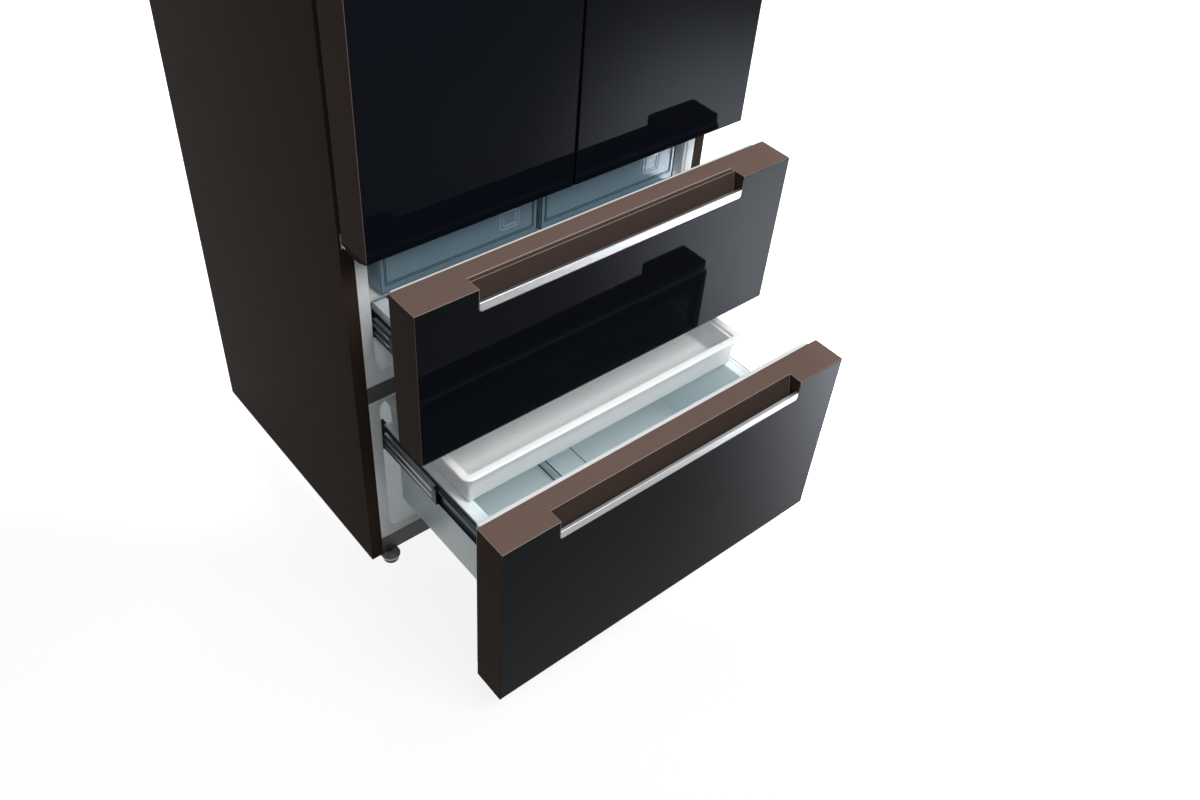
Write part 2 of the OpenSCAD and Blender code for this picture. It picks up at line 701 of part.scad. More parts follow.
module outer_rails() color([0.35, 0.36, 0.38]) placed() both_sides()
  along_y(rail_y, rail_y + rail_len) {
    translate([0, middle_rail_z]) rail_outer();
    translate([0, lower_rail_z]) rail_outer();
  }

// A middle member, out by half the drawer's opening, with its black end stop
module slide_members(out, z) translate([0, -out / 2, 0]) both_sides() {
  along_y(rail_y, rail_y + rail_len) translate([0, z]) rail_middle();
  inner_h = rail_h / 2 - rail_wall - rail_gap;
  along_y(rail_y + 1, rail_y + 12) translate([0, z])
    plain(cav_x - inner_u + rail_gap, cav_x - middle_u, 1 - inner_h, inner_h - 1);
}

module middle_slide_members() color([0.3, 0.32, 0.34]) placed()
  slide_members(middle_out, middle_rail_z);

module lower_slide_members() color([0.3, 0.32, 0.34]) placed()
  slide_members(lower_out, lower_rail_z);

// An inner member with the angle that carries the basket's rim
module inner_rails(out, z, rim_z, lip_h) translate([0, -out, 0]) both_sides()
  along_y(panel_y, rail_y + rail_len) {
    under = rim_z - lip_h - 2.5;
    web_x = cav_x - rail_t;
    translate([0, z]) rail_inner();
    plain(web_x, web_x + rail_web, z, under + rail_web);
    plain(hook_x, web_x + rail_web, under, under + rail_web);
    plain(hook_x, hook_x + rail_web, under, rim_z - 4);
  }

module middle_inner_rails() color([0.42, 0.45, 0.47]) placed()
  inner_rails(middle_out, middle_rail_z, middle_rim_z, middle_lip_h);

module lower_inner_rails() color([0.42, 0.45, 0.47]) placed()
  inner_rails(lower_out, lower_rail_z, lower_rim_z, lower_lip_h);

// Doors

// Side outline of a door from the glass plane to its rear, with the rolled lower cap
function door_outline(z0, z1) = let (cap_run = door_t - cap_r - cap_flat) concat(
  [for (t = [0 : 0.2 : 1]) [cap_run * t, z0 - cap_drop * sin(90 * t)]],
  [for (a = [-90 : 15 : 0]) [door_t - cap_r + cap_r * cos(a),
    z0 - cap_drop + cap_r + cap_r * sin(a)]],
  [[door_t, z1], [0, z1]]);

// Both doors are drawn as the left one; x0 is the outer side, x1 the free side
module door_frame() {
  x0 = -half;
  x1 = -door_gap / 2;
  difference() {
    union() {
      difference() {
        along_x(x0, x1) polygon(door_outline(door_z, door_top));
        block(x0 + frame_wall, x1 - frame_wall, glass_t + sheet_t, door_t + 1,
          door_z + frame_wall, door_top - frame_wall);
      }
      translate([-hinge_x, hinge_back, door_z + 1]) cylinder(r = 10, h = pin_len + 4);
      translate([-hinge_x, hinge_back, door_top - pin_len - 6]) cylinder(r = 10,
        h = pin_len + 5);
    }
    block(x0 + lip, x1 - lip, -1, glass_t, door_z + lip, door_top - lip);
    translate([-hinge_x, hinge_back, door_z - cap_drop - 5]) cylinder(r = pin_r + pin_fit,
      h = pin_len + cap_drop + 5);
    translate([-hinge_x, hinge_back, door_top - pin_len - 1]) cylinder(r = pin_r + pin_fit,
      h = pin_len + 5);
  }
}

module door_glass() block(-half + lip, -door_gap / 2 - lip, 0, glass_t,
  door_z + lip, door_top - lip);

// The liner's plate and the raised wall round the bins
module door_liner() {
  x0 = -half;
  x1 = -door_gap / 2;
  along_y(door_t - frame_wall, door_t) rounded(x0 + frame_wall, x1 - frame_wall,
    door_z + frame_wall, door_top - frame_wall, 2);
  along_y(door_t + seat, door_t + dyke_h) difference() {
    rounded(x0 + dyke_inset, x1 - dyke_inset, fridge_floor + 14, fridge_ceil - 20, 20);
    rounded(x0 + dyke_inset + dyke_w, x1 - dyke_inset - dyke_w,
      fridge_floor + 14 + dyke_w, fridge_ceil - 20 - dyke_w, 10);
  }
}

module seal_ring(x0, x1, z0, z1, y0) along_y(y0, flange_y - run) difference() {
  rounded(x0 + seal_inset, x1 - seal_inset, z0 + seal_inset, z1 - seal_inset, 4);
  rounded(x0 + seal_inset + seal_w, x1 - seal_inset - seal_w,
    z0 + seal_inset + seal_w, z1 - seal_inset - seal_w, 2);
}

module door_seal() seal_ring(-half, -door_gap / 2, door_z, door_top, door_t);

module door_bins() {
  x0 = -half + dyke_inset + dyke_w + seat;
  x1 = -door_gap / 2 - dyke_inset - dyke_w - seat;
  for (z = door_bin_z) difference() {
    translate([0, 0, z]) linear_extrude(door_bin_h)
      rounded(x0, x1, door_t + seat, door_t + door_bin_d, 10);
    translate([0, 0, z + tub_t]) linear_extrude(door_bin_h)
      rounded(x0 + tub_t, x1 - tub_t, door_t + seat + tub_t, door_t + door_bin_d - tub_t, 8);
  }
}

module left_door_frame() color([0.25, 0.19, 0.17]) placed() door_frame();
module left_door_glass() color([0.03, 0.035, 0.045]) placed() door_glass();
module left_door_seal() color([0.6, 0.6, 0.6]) placed() door_seal();
module left_door_bins() color([0.85, 0.92, 0.95, 0.6]) placed() door_bins();

// The left door's liner also has the two ears that hold the flap
module left_door_liner() color([0.95, 0.95, 0.94]) placed() difference() {
  union() {
    door_liner();
    for (z = [flap_z0 - ear_t - run, flap_z1 + run])
      block(-flap_x - flap_t / 2 - 7, -flap_x + flap_t / 2, door_t + seat,
        pivot_y + flap_t / 2, z, z + ear_t);
  }
  for (z = [flap_z0 - ear_t - run, flap_z1 + run])
    translate([-flap_x, pivot_y, z - 1]) cylinder(r = flap_pin_r + pin_fit, h = ear_t + 2);
}

module right_door_frame() color([0.25, 0.19, 0.17]) placed() mirror([1, 0, 0]) door_frame();
module right_door_glass() color([0.03, 0.035, 0.045]) placed() mirror([1, 0, 0]) door_glass();
module right_door_liner() color([0.95, 0.95, 0.94]) placed() mirror([1, 0, 0]) door_liner();
module right_door_seal() color([0.6, 0.6, 0.6]) placed() mirror([1, 0, 0]) door_seal();
module right_door_bins() color([0.85, 0.92, 0.95, 0.6]) placed() mirror([1, 0, 0]) door_bins();

// The flap, folded back beside the left door's free edge
module mullion_flap() color([0.8, 0.8, 0.79]) placed() {
  block(-flap_x - flap_t / 2, -flap_x + flap_t / 2, pivot_y, pivot_y + flap_w - flap_t / 2,
    flap_z0, flap_z1);
  translate([-flap_x, pivot_y, flap_z0]) cylinder(r = flap_t / 2, h = flap_z1 - flap_z0);
  translate([-flap_x, pivot_y, flap_z0 - ear_t]) cylinder(r = flap_pin_r,
    h = flap_z1 - flap_z0 + 2 * ear_t);
}

// Drawer fronts

// Outline in x and z of the opening for the grip; m grows it on every side
module grip_notch(top, m) rounded(-grip_w / 2 - m, grip_w / 2 + m, top - grip_end_z - m,
  top + 20, 6 + m);

// Side outline of the finger pocket behind the grip trim
module pocket_outline(top, depth) polygon([[trim_t + 6, top + 1], [depth, top + 1],
  [depth, top - 2], [depth * 0.62, top - pocket_h], [trim_t + 8, top - pocket_h],
  [trim_t + 6, top - pocket_h + 4]]);

module front_frame(z0, z1, depth, ledge) difference() {
  union() {
    difference() {
      block(-half, half, 0, front_t, z0, z1);
      block(-half + frame_wall, half - frame_wall, glass_t + sheet_t, front_t + 1,
        z0 + frame_wall, z1 - frame_wall);
    }
    block(-grip_w / 2 - 4, grip_w / 2 + 4, glass_t, depth + ledge + 3, z1 - pocket_h - 3,
      z1 - 1);
  }
  difference() {
    block(-half + lip, half - lip, -1, glass_t, z0 + lip, z1 - lip);
    along_y(-2, glass_t + 1) grip_notch(z1, lip);
  }
  along_y(-1, trim_t) grip_notch(z1, 0);
  block(-grip_w / 2, grip_w / 2, -1, trim_t + 7, z1 - grip_drop - 3.2, z1 + 1);
  along_x(-grip_w / 2, grip_w / 2) pocket_outline(z1, depth);
  if (ledge > 0) block(-grip_w / 2, grip_w / 2, depth - 1, depth + ledge, z1 - 1.5, z1 + 1);
}

module front_glass(z0, z1) difference() {
  block(-half + lip, half - lip, 0, glass_t, z0 + lip, z1 - lip);
  along_y(-2, glass_t + 1) grip_notch(z1, lip);
}

// A bright angle: a face plate with a narrow flange over the pocket's front wall
module grip_trim(z1) intersection() {
  along_x(-grip_w, grip_w) polygon([[0, z1 - grip_end_z], [0, z1 - grip_drop - 1],
    [1, z1 - grip_drop], [trim_t + 4, z1 - grip_drop], [trim_t + 4, z1 - grip_drop - 3],
    [trim_t - run / 2, z1 - grip_drop - 3], [trim_t - run / 2, z1 - grip_end_z]]);
  along_y(-1, 20) grip_notch(z1, -seat);
}

// The moulded rear of a front: a plate inside the frame and a raised field
module inner_panel(z0, z1, floor_z, ceil_z) {
  along_y(front_t - frame_wall, front_t) rounded(-half + frame_wall, half - frame_wall,
    z0 + frame_wall, z1 - frame_wall, 2);
  along_y(front_t - 1, panel_y) rounded(-cav_x + 1, cav_x - 1, floor_z + 12,
    ceil_z - 4, cavity_r - 4);
}

// A basket: open on top, rounded floor edges, a rim that hangs on the side angles
module basket(rim_z, h, lip_h) {
  y0 = panel_y;
  y1 = panel_y + basket_len;
  in_x = basket_x - basket_rim_w;
  difference() {
    union() {
      along_y(y0, y1) rounded(-in_x, in_x, rim_z - h, rim_z - 1, 14);
      along_y(y0, y1) plain(-in_x, in_x, rim_z - 40, rim_z - 1);
      block(-basket_x, basket_x, y0, y1, rim_z - 4, rim_z);
      both_sides() block(basket_x - 2, basket_x, y0, y1, rim_z - lip_h, rim_z - 1);
    }
    along_y(y0 + tub_t, y1 - tub_t) {
      rounded(-in_x + tub_t, in_x - tub_t, rim_z - h + tub_t, rim_z + 1, 12);
      plain(-in_x + tub_t, in_x - tub_t, rim_z - 40, rim_z + 1);
    }
  }
}

module middle_front_frame() color([0.36, 0.28, 0.25]) placed() translate([0, -middle_out, 0])
  front_frame(middle_front_z, middle_front_top, middle_grip_d, ledge_w);
module middle_front_glass() color([0.05, 0.055, 0.065]) placed()
  translate([0, -middle_out, 0]) front_glass(middle_front_z, middle_front_top);
module middle_grip_trim() color([0.82, 0.83, 0.84]) placed() translate([0, -middle_out, 0])
  grip_trim(middle_front_top);
module middle_inner_panel() color([0.93, 0.94, 0.95]) placed() translate([0, -middle_out, 0])
  inner_panel(middle_front_z, middle_front_top, middle_floor, middle_ceil);
module middle_seal() color([0.62, 0.62, 0.62]) placed() translate([0, -middle_out, 0])
  seal_ring(-half, half, middle_front_z, middle_front_top, front_t);
module middle_basket() color([0.85, 0.91, 0.93]) placed() translate([0, -middle_out, 0])
  basket(middle_rim_z, middle_rim_z - middle_floor - middle_lift, middle_lip_h);

module lower_front_frame() color([0.36, 0.28, 0.25]) placed() translate([0, -lower_out, 0])
  front_frame(lower_front_z, lower_front_top, lower_grip_d, 0);
module lower_front_glass() color([0.05, 0.055, 0.065]) placed()
  translate([0, -lower_out, 0]) front_glass(lower_front_z, lower_front_top);
module lower_grip_trim() color([0.82, 0.83, 0.84]) placed() translate([0, -lower_out, 0])
  grip_trim(lower_front_top);
module lower_inner_panel() color([0.93, 0.94, 0.95]) placed() translate([0, -lower_out, 0])
  inner_panel(lower_front_z, lower_front_top, lower_floor, lower_ceil);
module lower_seal() color([0.62, 0.62, 0.62]) placed() translate([0, -lower_out, 0])
  seal_ring(-half, half, lower_front_z, lower_front_top, front_t);

// The lower basket has a low partition along its middle
module lower_basket() color([0.85, 0.91, 0.93]) placed() translate([0, -lower_out, 0]) {
  floor_in = lower_floor + lower_lift + tub_t;
  basket(lower_rim_z, lower_rim_z - lower_floor - lower_lift, lower_lip_h);
  block(-34, 34, panel_y + 1, panel_y + basket_len - 1, floor_in - 1, floor_in + 32);
}

// The tray stands on the lower basket's rims
module freezer_tray() color([0.93, 0.95, 0.96]) placed() translate([0, -lower_out, 0]) {
  y0 = panel_y + tray_set;
  y1 = y0 + tray_d;
  z0 = lower_rim_z + run;
  rim_x = basket_x - 1;
  in_x = basket_x - 12;
  difference() {
    union() {
      translate([0, 0, z0]) linear_extrude(tray_h - 2) rounded(-in_x, in_x, y0 + 10, y1 - 10, 24);
      translate([0, 0, z0 + tray_h - 7]) linear_extrude(7) rounded(-rim_x, rim_x, y0, y1, 32);
    }
    translate([0, 0, z0 + tub_t]) linear_extrude(tray_h)
      rounded(-in_x + tub_t, in_x - tub_t, y0 + 10 + tub_t, y1 - 10 - tub_t, 22);
  }
}

// An open bin with a thicker front; drawn on the left
module pull_bin(x0, x1, y0, depth, z0, h, front_wall) difference() {
  translate([0, 0, z0]) linear_extrude(h) rounded(x0, x1, y0, y0 + depth, 3);
  translate([0, 0, z0 + tub_t]) linear_extrude(h)
    rounded(x0 + tub_t, x1 - tub_t, y0 + front_wall, y0 + depth - tub_t, 2);
}

module bin_pair() pull_bin(-cav_x + bin_side, -bin_gap / 2, bin_y, bin_d, bin_z, bin_h, 4);
module left_bin() color([0.45, 0.6, 0.68, 0.7]) placed() bin_pair();
module right_bin() color([0.45, 0.6, 0.68, 0.7]) placed() mirror([1, 0, 0]) bin_pair();

module crisper_pair() pull_bin(-cav_x + cavity_r, -bin_gap / 2, crisper_y, crisper_d, fridge_floor + run,
  crisper_h, 5);
module left_crisper() color([0.8, 0.88, 0.92, 0.6]) placed() crisper_pair();
module right_crisper() color([0.8, 0.88, 0.92, 0.6]) placed() mirror([1, 0, 0]) crisper_pair();

// Fans, wheels and feet

module fan(r, blades, hub_r, depth, shaft_r, shaft_len) {
  cylinder(r = hub_r, h = depth);
  for (i = [0 : blades - 1]) rotate([0, 0, i * 360 / blades]) translate([0, -hub_r * 0.5, 0])
    translate([hub_r * 0.6, 0, depth * 0.5]) rotate([32, 0, 0])
      translate([0, 0, -0.8]) cube([r - hub_r * 0.6 - 3, hub_r, 1.6]);
  translate([0, 0, depth - 1]) cylinder(r = shaft_r, h = shaft_len + 1);
}

module evaporator_fan() color([0.9, 0.9, 0.9]) placed()
  translate([0, evap_y + 30, evap_fan_z]) rotate([90, 0, 0])
    fan(evap_fan_r, 5, 14, 16, 2, 13.5);

module condenser_fan() color([0.15, 0.15, 0.16]) placed()
  translate([fan_x, fan_y - fan_run, fan_z]) rotate([-90, 0, 0]) fan(fan_r, 5, 18, 15, 2.5, 14);

module rear_wheelset() color([0.1, 0.1, 0.1]) placed() translate([0, axle_y, axle_z])
  rotate([0, 90, 0]) {
    translate([0, 0, -wheel_x - 22]) cylinder(r = axle_r, h = 2 * wheel_x + 44);
    for (s = [-1, 1]) translate([0, 0, s * wheel_x - wheel_w / 2])
      cylinder(r = wheel_r, h = wheel_w);
  }

// A disc with a knurled edge and a stem through its bracket
module foot() translate([-foot_x, foot_y, 0]) {
  cylinder(r = foot_r - 1, h = foot_h);
  for (i = [0 : 11]) rotate([0, 0, i * 30]) translate([foot_r - 4, -2.5, 1])
    cube([4, 5, foot_h - 2]);
  cylinder(r = stem_r, h = floor_gap + 8);
}

module left_foot() color([0.16, 0.17, 0.17]) placed() foot();
module right_foot() color([0.16, 0.17, 0.17]) placed() mirror([1, 0, 0]) foot();

cabinet_shell();
back_panel();
insulation();
fridge_liner();
middle_liner();
lower_liner();
mullions();
bottom_bar();
base_plate();
machine_cover();
compressor();
condenser();
fan_bracket();
drip_tray();
power_inlet();
evaporator();
evaporator_cover();
air_duct();
glass_shelves();
interior_lamp();
hinge_brackets();
hinge_covers();
outer_rails();
left_door_frame();
left_door_glass();
left_door_liner();
left_door_seal();
left_door_bins();
right_door_frame();
right_door_glass();
right_door_liner();
right_door_seal();
right_door_bins();
mullion_flap();
middle_front_frame();
middle_front_glass();
middle_grip_trim();
middle_inner_panel();
middle_seal();
middle_basket();
middle_inner_rails();
lower_front_frame();
lower_front_glass();
lower_grip_trim();
lower_inner_panel();
lower_seal();
lower_basket();
lower_inner_rails();
middle_slide_members();
lower_slide_members();
freezer_tray();
left_bin();
right_bin();
left_crisper();
right_crisper();
evaporator_fan();
condenser_fan();
rear_wheelset();
left_foot();
right_foot();
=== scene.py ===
# %% [markdown]
# # A multi-door refrigerator, dressed for a studio picture
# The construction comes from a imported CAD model, and this file gives it its looks.
# Loading the model makes one object per CAD node, in metres, already in place. The front faces
# -Y, +X is to the viewer's right, +Z is up, and the two drawers stand open.

import json
import math

import bmesh
import bpy
import numpy as np
from mathutils import Matrix, Vector

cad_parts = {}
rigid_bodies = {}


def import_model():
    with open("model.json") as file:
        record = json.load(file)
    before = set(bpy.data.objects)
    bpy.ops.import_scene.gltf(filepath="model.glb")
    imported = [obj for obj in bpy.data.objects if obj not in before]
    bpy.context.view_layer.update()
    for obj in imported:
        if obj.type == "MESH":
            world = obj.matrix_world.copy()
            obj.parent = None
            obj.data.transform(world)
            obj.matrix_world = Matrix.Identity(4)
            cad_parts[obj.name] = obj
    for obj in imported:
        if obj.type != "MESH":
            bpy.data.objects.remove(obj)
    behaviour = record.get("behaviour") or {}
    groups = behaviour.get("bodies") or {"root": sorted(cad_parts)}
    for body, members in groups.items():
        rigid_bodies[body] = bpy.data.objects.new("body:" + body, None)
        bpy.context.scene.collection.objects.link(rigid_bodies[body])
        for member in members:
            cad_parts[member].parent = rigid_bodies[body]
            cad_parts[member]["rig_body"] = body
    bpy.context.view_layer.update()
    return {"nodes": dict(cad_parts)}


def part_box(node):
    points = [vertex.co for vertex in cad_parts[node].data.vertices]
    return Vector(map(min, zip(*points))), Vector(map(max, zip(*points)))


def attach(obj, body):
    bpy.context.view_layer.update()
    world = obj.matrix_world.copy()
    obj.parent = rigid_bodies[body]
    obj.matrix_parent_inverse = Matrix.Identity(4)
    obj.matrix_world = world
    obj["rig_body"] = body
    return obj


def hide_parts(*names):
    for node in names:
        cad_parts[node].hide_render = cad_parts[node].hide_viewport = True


MM = 0.001
SIDES, LEVELS = ("left", "right"), ("middle", "lower")

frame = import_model()
nodes = frame["nodes"]

# %% [markdown]
# ## The camera
# The picture looks down at the left front corner. A camera could be moved by hand until the
# edges agree, but it has only a place, a heading, a dip, a roll and a lens, and the straight
# edges of the drawers in the photograph are enough to solve these. The same numbers place
# Blender's camera, whose local -Z looks forward.

# %% Place the camera
EYE = Vector((-1.0895, -1.438, 1.8941))
HEADING, DIP, ROLL = (math.radians(a) for a in (43.73, 43.23, 5.65))
FOCAL_PX, IMAGE_W = 1105.9, 1200

forward = Vector((math.sin(HEADING) * math.cos(DIP), math.cos(HEADING) * math.cos(DIP),
                  -math.sin(DIP)))
level_line = Vector((math.cos(HEADING), -math.sin(HEADING), 0))
upright = level_line.cross(forward)
right = math.cos(ROLL) * level_line + math.sin(ROLL) * upright
up = math.cos(ROLL) * upright - math.sin(ROLL) * level_line
lens = bpy.data.cameras.new("camera")
lens.sensor_width = 36
lens.lens = FOCAL_PX / IMAGE_W * lens.sensor_width
camera = bpy.data.objects.new("camera", lens)
camera.matrix_world = Matrix.Translation(EYE) @ Matrix((right, up, -forward)).transposed().to_4x4()
bpy.context.scene.collection.objects.link(camera)
bpy.context.scene.camera = camera
print("lens:", round(lens.lens, 2), "mm")

# %% [markdown]
# ## Shader arithmetic
# A finish is a small network of nodes. Written out node by node it is hard to read, so a Wire
# wraps one socket and turns Python's operators into Math nodes. Anything else comes from
# Network.node, which takes a node's type, its settings and the values or links of its sockets.

# %% Wires
class Wire:
    """One output socket that takes part in Python expressions."""

    def __init__(self, network, socket):
        self.network, self.socket = network, socket

    def math(self, operation, *values):
        """A Math node over wires and numbers."""
        made = self.network.node("ShaderNodeMath", {"operation": operation},
                                 **{str(i): v for i, v in enumerate(values)})
        return made["Value"]

    def __add__(self, other):
        return self.math("ADD", self, other)

    def __radd__(self, other):
        return self.math("ADD", other, self)

    def __sub__(self, other):
        return self.math("SUBTRACT", self, other)

    def __rsub__(self, other):
        return self.math("SUBTRACT", other, self)

    def __mul__(self, other):
        return self.math("MULTIPLY", self, other)

    def __rmul__(self, other):
        return self.math("MULTIPLY", other, self)

    def __gt__(self, other):
        return self.math("GREATER_THAN", self, other)

    def __abs__(self):
        return self.math("ABSOLUTE", self)

    def most(self, other):
        """The greater of the two, which for 0 and 1 means either."""
        return self.math("MAXIMUM", self, other)


# %% Networks and finishes
class Network:
    """A node tree, and short ways to add nodes to it."""

    def __init__(self, tree):
        self.tree = tree

    def fill(self, socket, value):
        """Links a wire to a socket, or sets a plain value on it."""
        if isinstance(value, Wire):
            self.tree.links.new(value.socket, socket)
        else:
            socket.default_value = value

    def node(self, kind, settings, **sockets):
        """Adds a node, applies its settings, fills its sockets and returns its outputs by name."""
        made = self.tree.nodes.new(kind)
        for key, value in settings.items():
            setattr(made, key, value)
        for key, value in sockets.items():
            self.fill(made.inputs[int(key) if key.isdigit() else key.replace("_", " ")], value)
        return {o.name: Wire(self, o) for o in made.outputs}

    def looked_at(self):
        """1 for rays from the camera, from a mirror or through clear plastic, 0 for light."""
        rays = self.node("ShaderNodeLightPath", {})
        return rays["Is Camera Ray"].most(rays["Is Glossy Ray"]).most(rays["Is Transmission Ray"])


class Finish(Network):
    """A material whose one shader is Principled; constants go on the shader's own sockets."""

    def __init__(self, name, **constants):
        self.material = bpy.data.materials.new(name)
        self.material.use_nodes = True
        super().__init__(self.material.node_tree)
        self.shader = self.tree.nodes["Principled BSDF"]
        for key, value in constants.items():
            self.shader.inputs[key.replace("_", " ")].default_value = value
        places = self.node("ShaderNodeTexCoord", {})
        self.where, self.facing = places["Object"], places["Normal"]

    def drive(self, **sockets):
        """Feeds the shader's sockets from wires."""
        for key, wire in sockets.items():
            self.fill(self.shader.inputs[key.replace("_", " ")], wire)
        print("finish:", self.material.name)
        return self

    def stretched(self, x, y, z):
        """Object coordinates scaled by x, y and z, so that a pattern runs along the low ones."""
        return self.node("ShaderNodeMapping", {}, Vector=self.where, Scale=(x, y, z))["Vector"]

    def split(self, vector):
        """The X, Y and Z of a vector."""
        return self.node("ShaderNodeSeparateXYZ", {}, Vector=vector)

    def noise(self, scale, detail=2.0, rough=0.5, at=None):
        """Soft random values round 0.5, about scale of them to a metre."""
        return self.node("ShaderNodeTexNoise", {}, Vector=at or self.where, Scale=scale,
                         Detail=detail, Roughness=rough)["Fac"]

    def rising(self, value, low, high):
        """0 where value is under low, 1 where it is over high, and a soft step between."""
        return self.node("ShaderNodeMapRange", {"interpolation_type": "SMOOTHSTEP"},
                         Value=value, From_Min=low, From_Max=high)["Result"]

    def blend(self, share, low, high):
        """The colour low where share is 0 and high where it is 1."""
        made = self.tree.nodes.new("ShaderNodeMix")
        made.data_type = "RGBA"
        for slot, value in ((0, share), (6, low), (7, high)):
            self.fill(made.inputs[slot], value)
        return Wire(self, made.outputs[2])

    def bump(self, height, strength, distance):
        """A normal that makes height look raised, though the surface stays as it is."""
        return self.node("ShaderNodeBump", {}, Height=height, Strength=strength,
                         Distance=distance)["Normal"]


def shade(colour, factor):
    """An RGB colour scaled by factor, with alpha 1, as a colour socket takes it."""
    return tuple(min(c * factor, 1.0) for c in colour[:3]) + (1.0,)


print("half as bright:", shade((0.8, 0.6, 0.4), 0.5))

# %% [markdown]
# ## Painted steel
# The cabinet and the frames of the fronts are sprayed brown. One flat colour would look like
# card: real paint holds tiny flakes that make its tone sparkle, and the spray leaves a faint
# orange peel that breaks up reflections. A picture of paint would blur close up, so two noises
# do it, a very fine one for the flakes and a wider one for the peel. Painted shade on the end
# caps and in the grip pockets, and a painted highlight on the upward rounded edges, are told
# apart by where they are and which way they face.

# %% Paint
BROWN = (0.124, 0.085, 0.072)
BORDER_BLACK = (0.006, 0.006, 0.007, 1)
GRIP_HALF = 295 * MM
GRIP_DEPTH = {"middle": 35 * MM, "lower": 39 * MM}


def paint(name, colour, roughness=0.38, flake=0.16, door=False, pocket=None, sides=1.0,
          line=False):
    """Flakes, orange peel and the places painted otherwise. sides scales the end caps' colour,
    where
    the normal points along x: painted shade. A line is pale on upward edges and at the grip's
    ends, a painted highlight, and dark elsewhere, painted shade. A door's frame is black beside
    the gap and below the glass. pocket names the drawer whose grip pocket is darker inside:
    painted shade."""
    look = Finish(name, IOR=1.035)
    tone = look.blend(look.noise(1500, 1, 0.6), shade(colour, 1 - flake),
                      shade(colour, 1 + flake))
    tone = look.blend(look.noise(2.5, 3) * 0.25, tone, shade(colour, 0.82))
    at, facing = look.split(look.where), look.split(look.facing)
    sideways = abs(at["X"])
    # Painted shade: faces whose normal points along x, the end caps, take the darker colour.
    if sides < 1:
        tone = look.blend(abs(facing["X"]) > 0.3, tone, shade(colour, sides))
    # Painted highlight on rounded edges that face up or lie within the grip's width, painted shade
    # on the others.
    if line:
        pale = (facing["Z"] > 0.3).most(1 - (sideways > GRIP_HALF + 2 * MM))
        tone = look.blend(pale, shade(BROWN, 0.3), tone)
    if door:
        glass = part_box("right_door_glass")[0]
        border = (1 - (sideways > glass.x + 0.2 * MM)).most(1 - (at["Z"] > glass.z + 0.5 * MM))
        tone = look.blend(border, tone, BORDER_BLACK)
    # Painted shade inside the grip pocket: there the tone is 0.42 of the colour.
    if pocket:
        lo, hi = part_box(pocket + "_front_frame")
        rear, top = lo.y + GRIP_DEPTH[pocket] + 0.4 * MM, hi.z - 0.7 * MM
        outside = (sideways > GRIP_HALF + 0.5 * MM).most(at["Y"] > rear).most(at["Z"] > top)
        tone = look.blend(outside, shade(colour, 0.42), tone)
    return look.drive(Base_Color=tone, Roughness=roughness - 0.05 + 0.1 * look.noise(35, 2),
                      Normal=look.bump(look.noise(260, 2), 0.06, 0.0006))


# The drawers' and doors' paints carry painted shade on their end caps, and the drawers' paints
# also in the grip pocket.
middle_paint = paint("middle_drawer_paint", BROWN, pocket="middle", sides=0.47)
lower_paint = paint("lower_drawer_paint", BROWN, pocket="lower", sides=0.47)
door_paint = paint("door_frame_paint", BROWN, door=True, sides=0.5)
# The frames' rounded edges: a painted highlight where they face up, painted shade elsewhere.
edge_light_and_shade = paint("frame_edge_painted_highlight_and_shade", (0.30, 0.25, 0.225), 0.3, line=True)
# The cabinet is the frames' brown at 0.37, a shaded copy of it: painted shade for its dark side
# faces.
cabinet_paint = paint("cabinet_paint", tuple(c * 0.37 for c in BROWN), 0.42)
grey_sheet = paint("grey_sheet", (0.30, 0.31, 0.32), 0.5, 0.06)
cover_sheet = paint("cover_sheet", (0.075, 0.078, 0.082), 0.55, 0.06)
black_enamel = paint("black_enamel", (0.012, 0.012, 0.013), 0.3, 0.2)

# %% [markdown]
# ## Black glass
# The fronts are clear glass, painted black on the back. Clear glass over a black sheet would be
# two surfaces to trace, and the eye sees only a mirror over near-black with a trace of blue. So
# one opaque surface does: what keeps it from looking like plastic is a very low roughness that
# smudges change slightly, and a surface that is flat but for the faintest roll.

# %% Glass fronts
def black_glass(name, colour):
    """A mirror over near-black. Smudges add up to 0.035 of roughness."""
    look = Finish(name, IOR=1.085)
    depth = look.blend(look.noise(1.6, 2), shade(colour, 0.85), shade(colour, 1.15))
    return look.drive(Base_Color=depth, Roughness=0.015 + 0.035 * look.noise(9, 4, 0.6),
                      Normal=look.bump(look.noise(3.0, 1), 0.02, 0.002))


door_glass = black_glass("door_glass_black", (0.0029, 0.0040, 0.0068))
drawer_glass = black_glass("drawer_glass_black", (0.0031, 0.0043, 0.0068))

# %% [markdown]
# ## Metals
# Brushed aluminium and rolled steel differ from plain metal by fine lines that run one way. An
# anisotropic shader would stretch the highlights alone. A noise stretched along the lines
# changes the tone, the roughness and the bump together, as real scratches do.

# %% Metals
def brushed(name, colour, roughness, along, lines=0.2, strength=0.15):
    """Metal with lines along x, y or z: noise squeezed 300 times more across than along."""
    look = Finish(name, Metallic=1.0)
    scale = [900.0, 900.0, 900.0]
    scale["xyz".index(along)] = 3.0
    grain = look.noise(1.0, 3, 0.65, at=look.stretched(*scale))
    tone = look.blend(grain, shade(colour, 1 - lines), shade(colour, 1 + lines))
    return look.drive(Base_Color=look.blend(look.noise(6, 3) * 0.2, tone, shade(colour, 0.8)),
                      Roughness=roughness - 0.08 + 0.16 * grain,
                      Normal=look.bump(grain, strength, 0.0003))


def spangled(name, colour):
    """Zinc sheet: crystals of slightly different grey, from a Voronoi pattern's cells."""
    look = Finish(name, Metallic=0.9)
    cells = look.node("ShaderNodeTexVoronoi", {}, Vector=look.where, Scale=90.0)["Color"]
    grey = look.node("ShaderNodeRGBToBW", {}, Color=cells)["Val"]
    return look.drive(Base_Color=look.blend(grey, shade(colour, 0.8), shade(colour, 1.15)),
                      Roughness=0.38 + 0.14 * grey,
                      Normal=look.bump(look.noise(120, 2), 0.05, 0.0005))


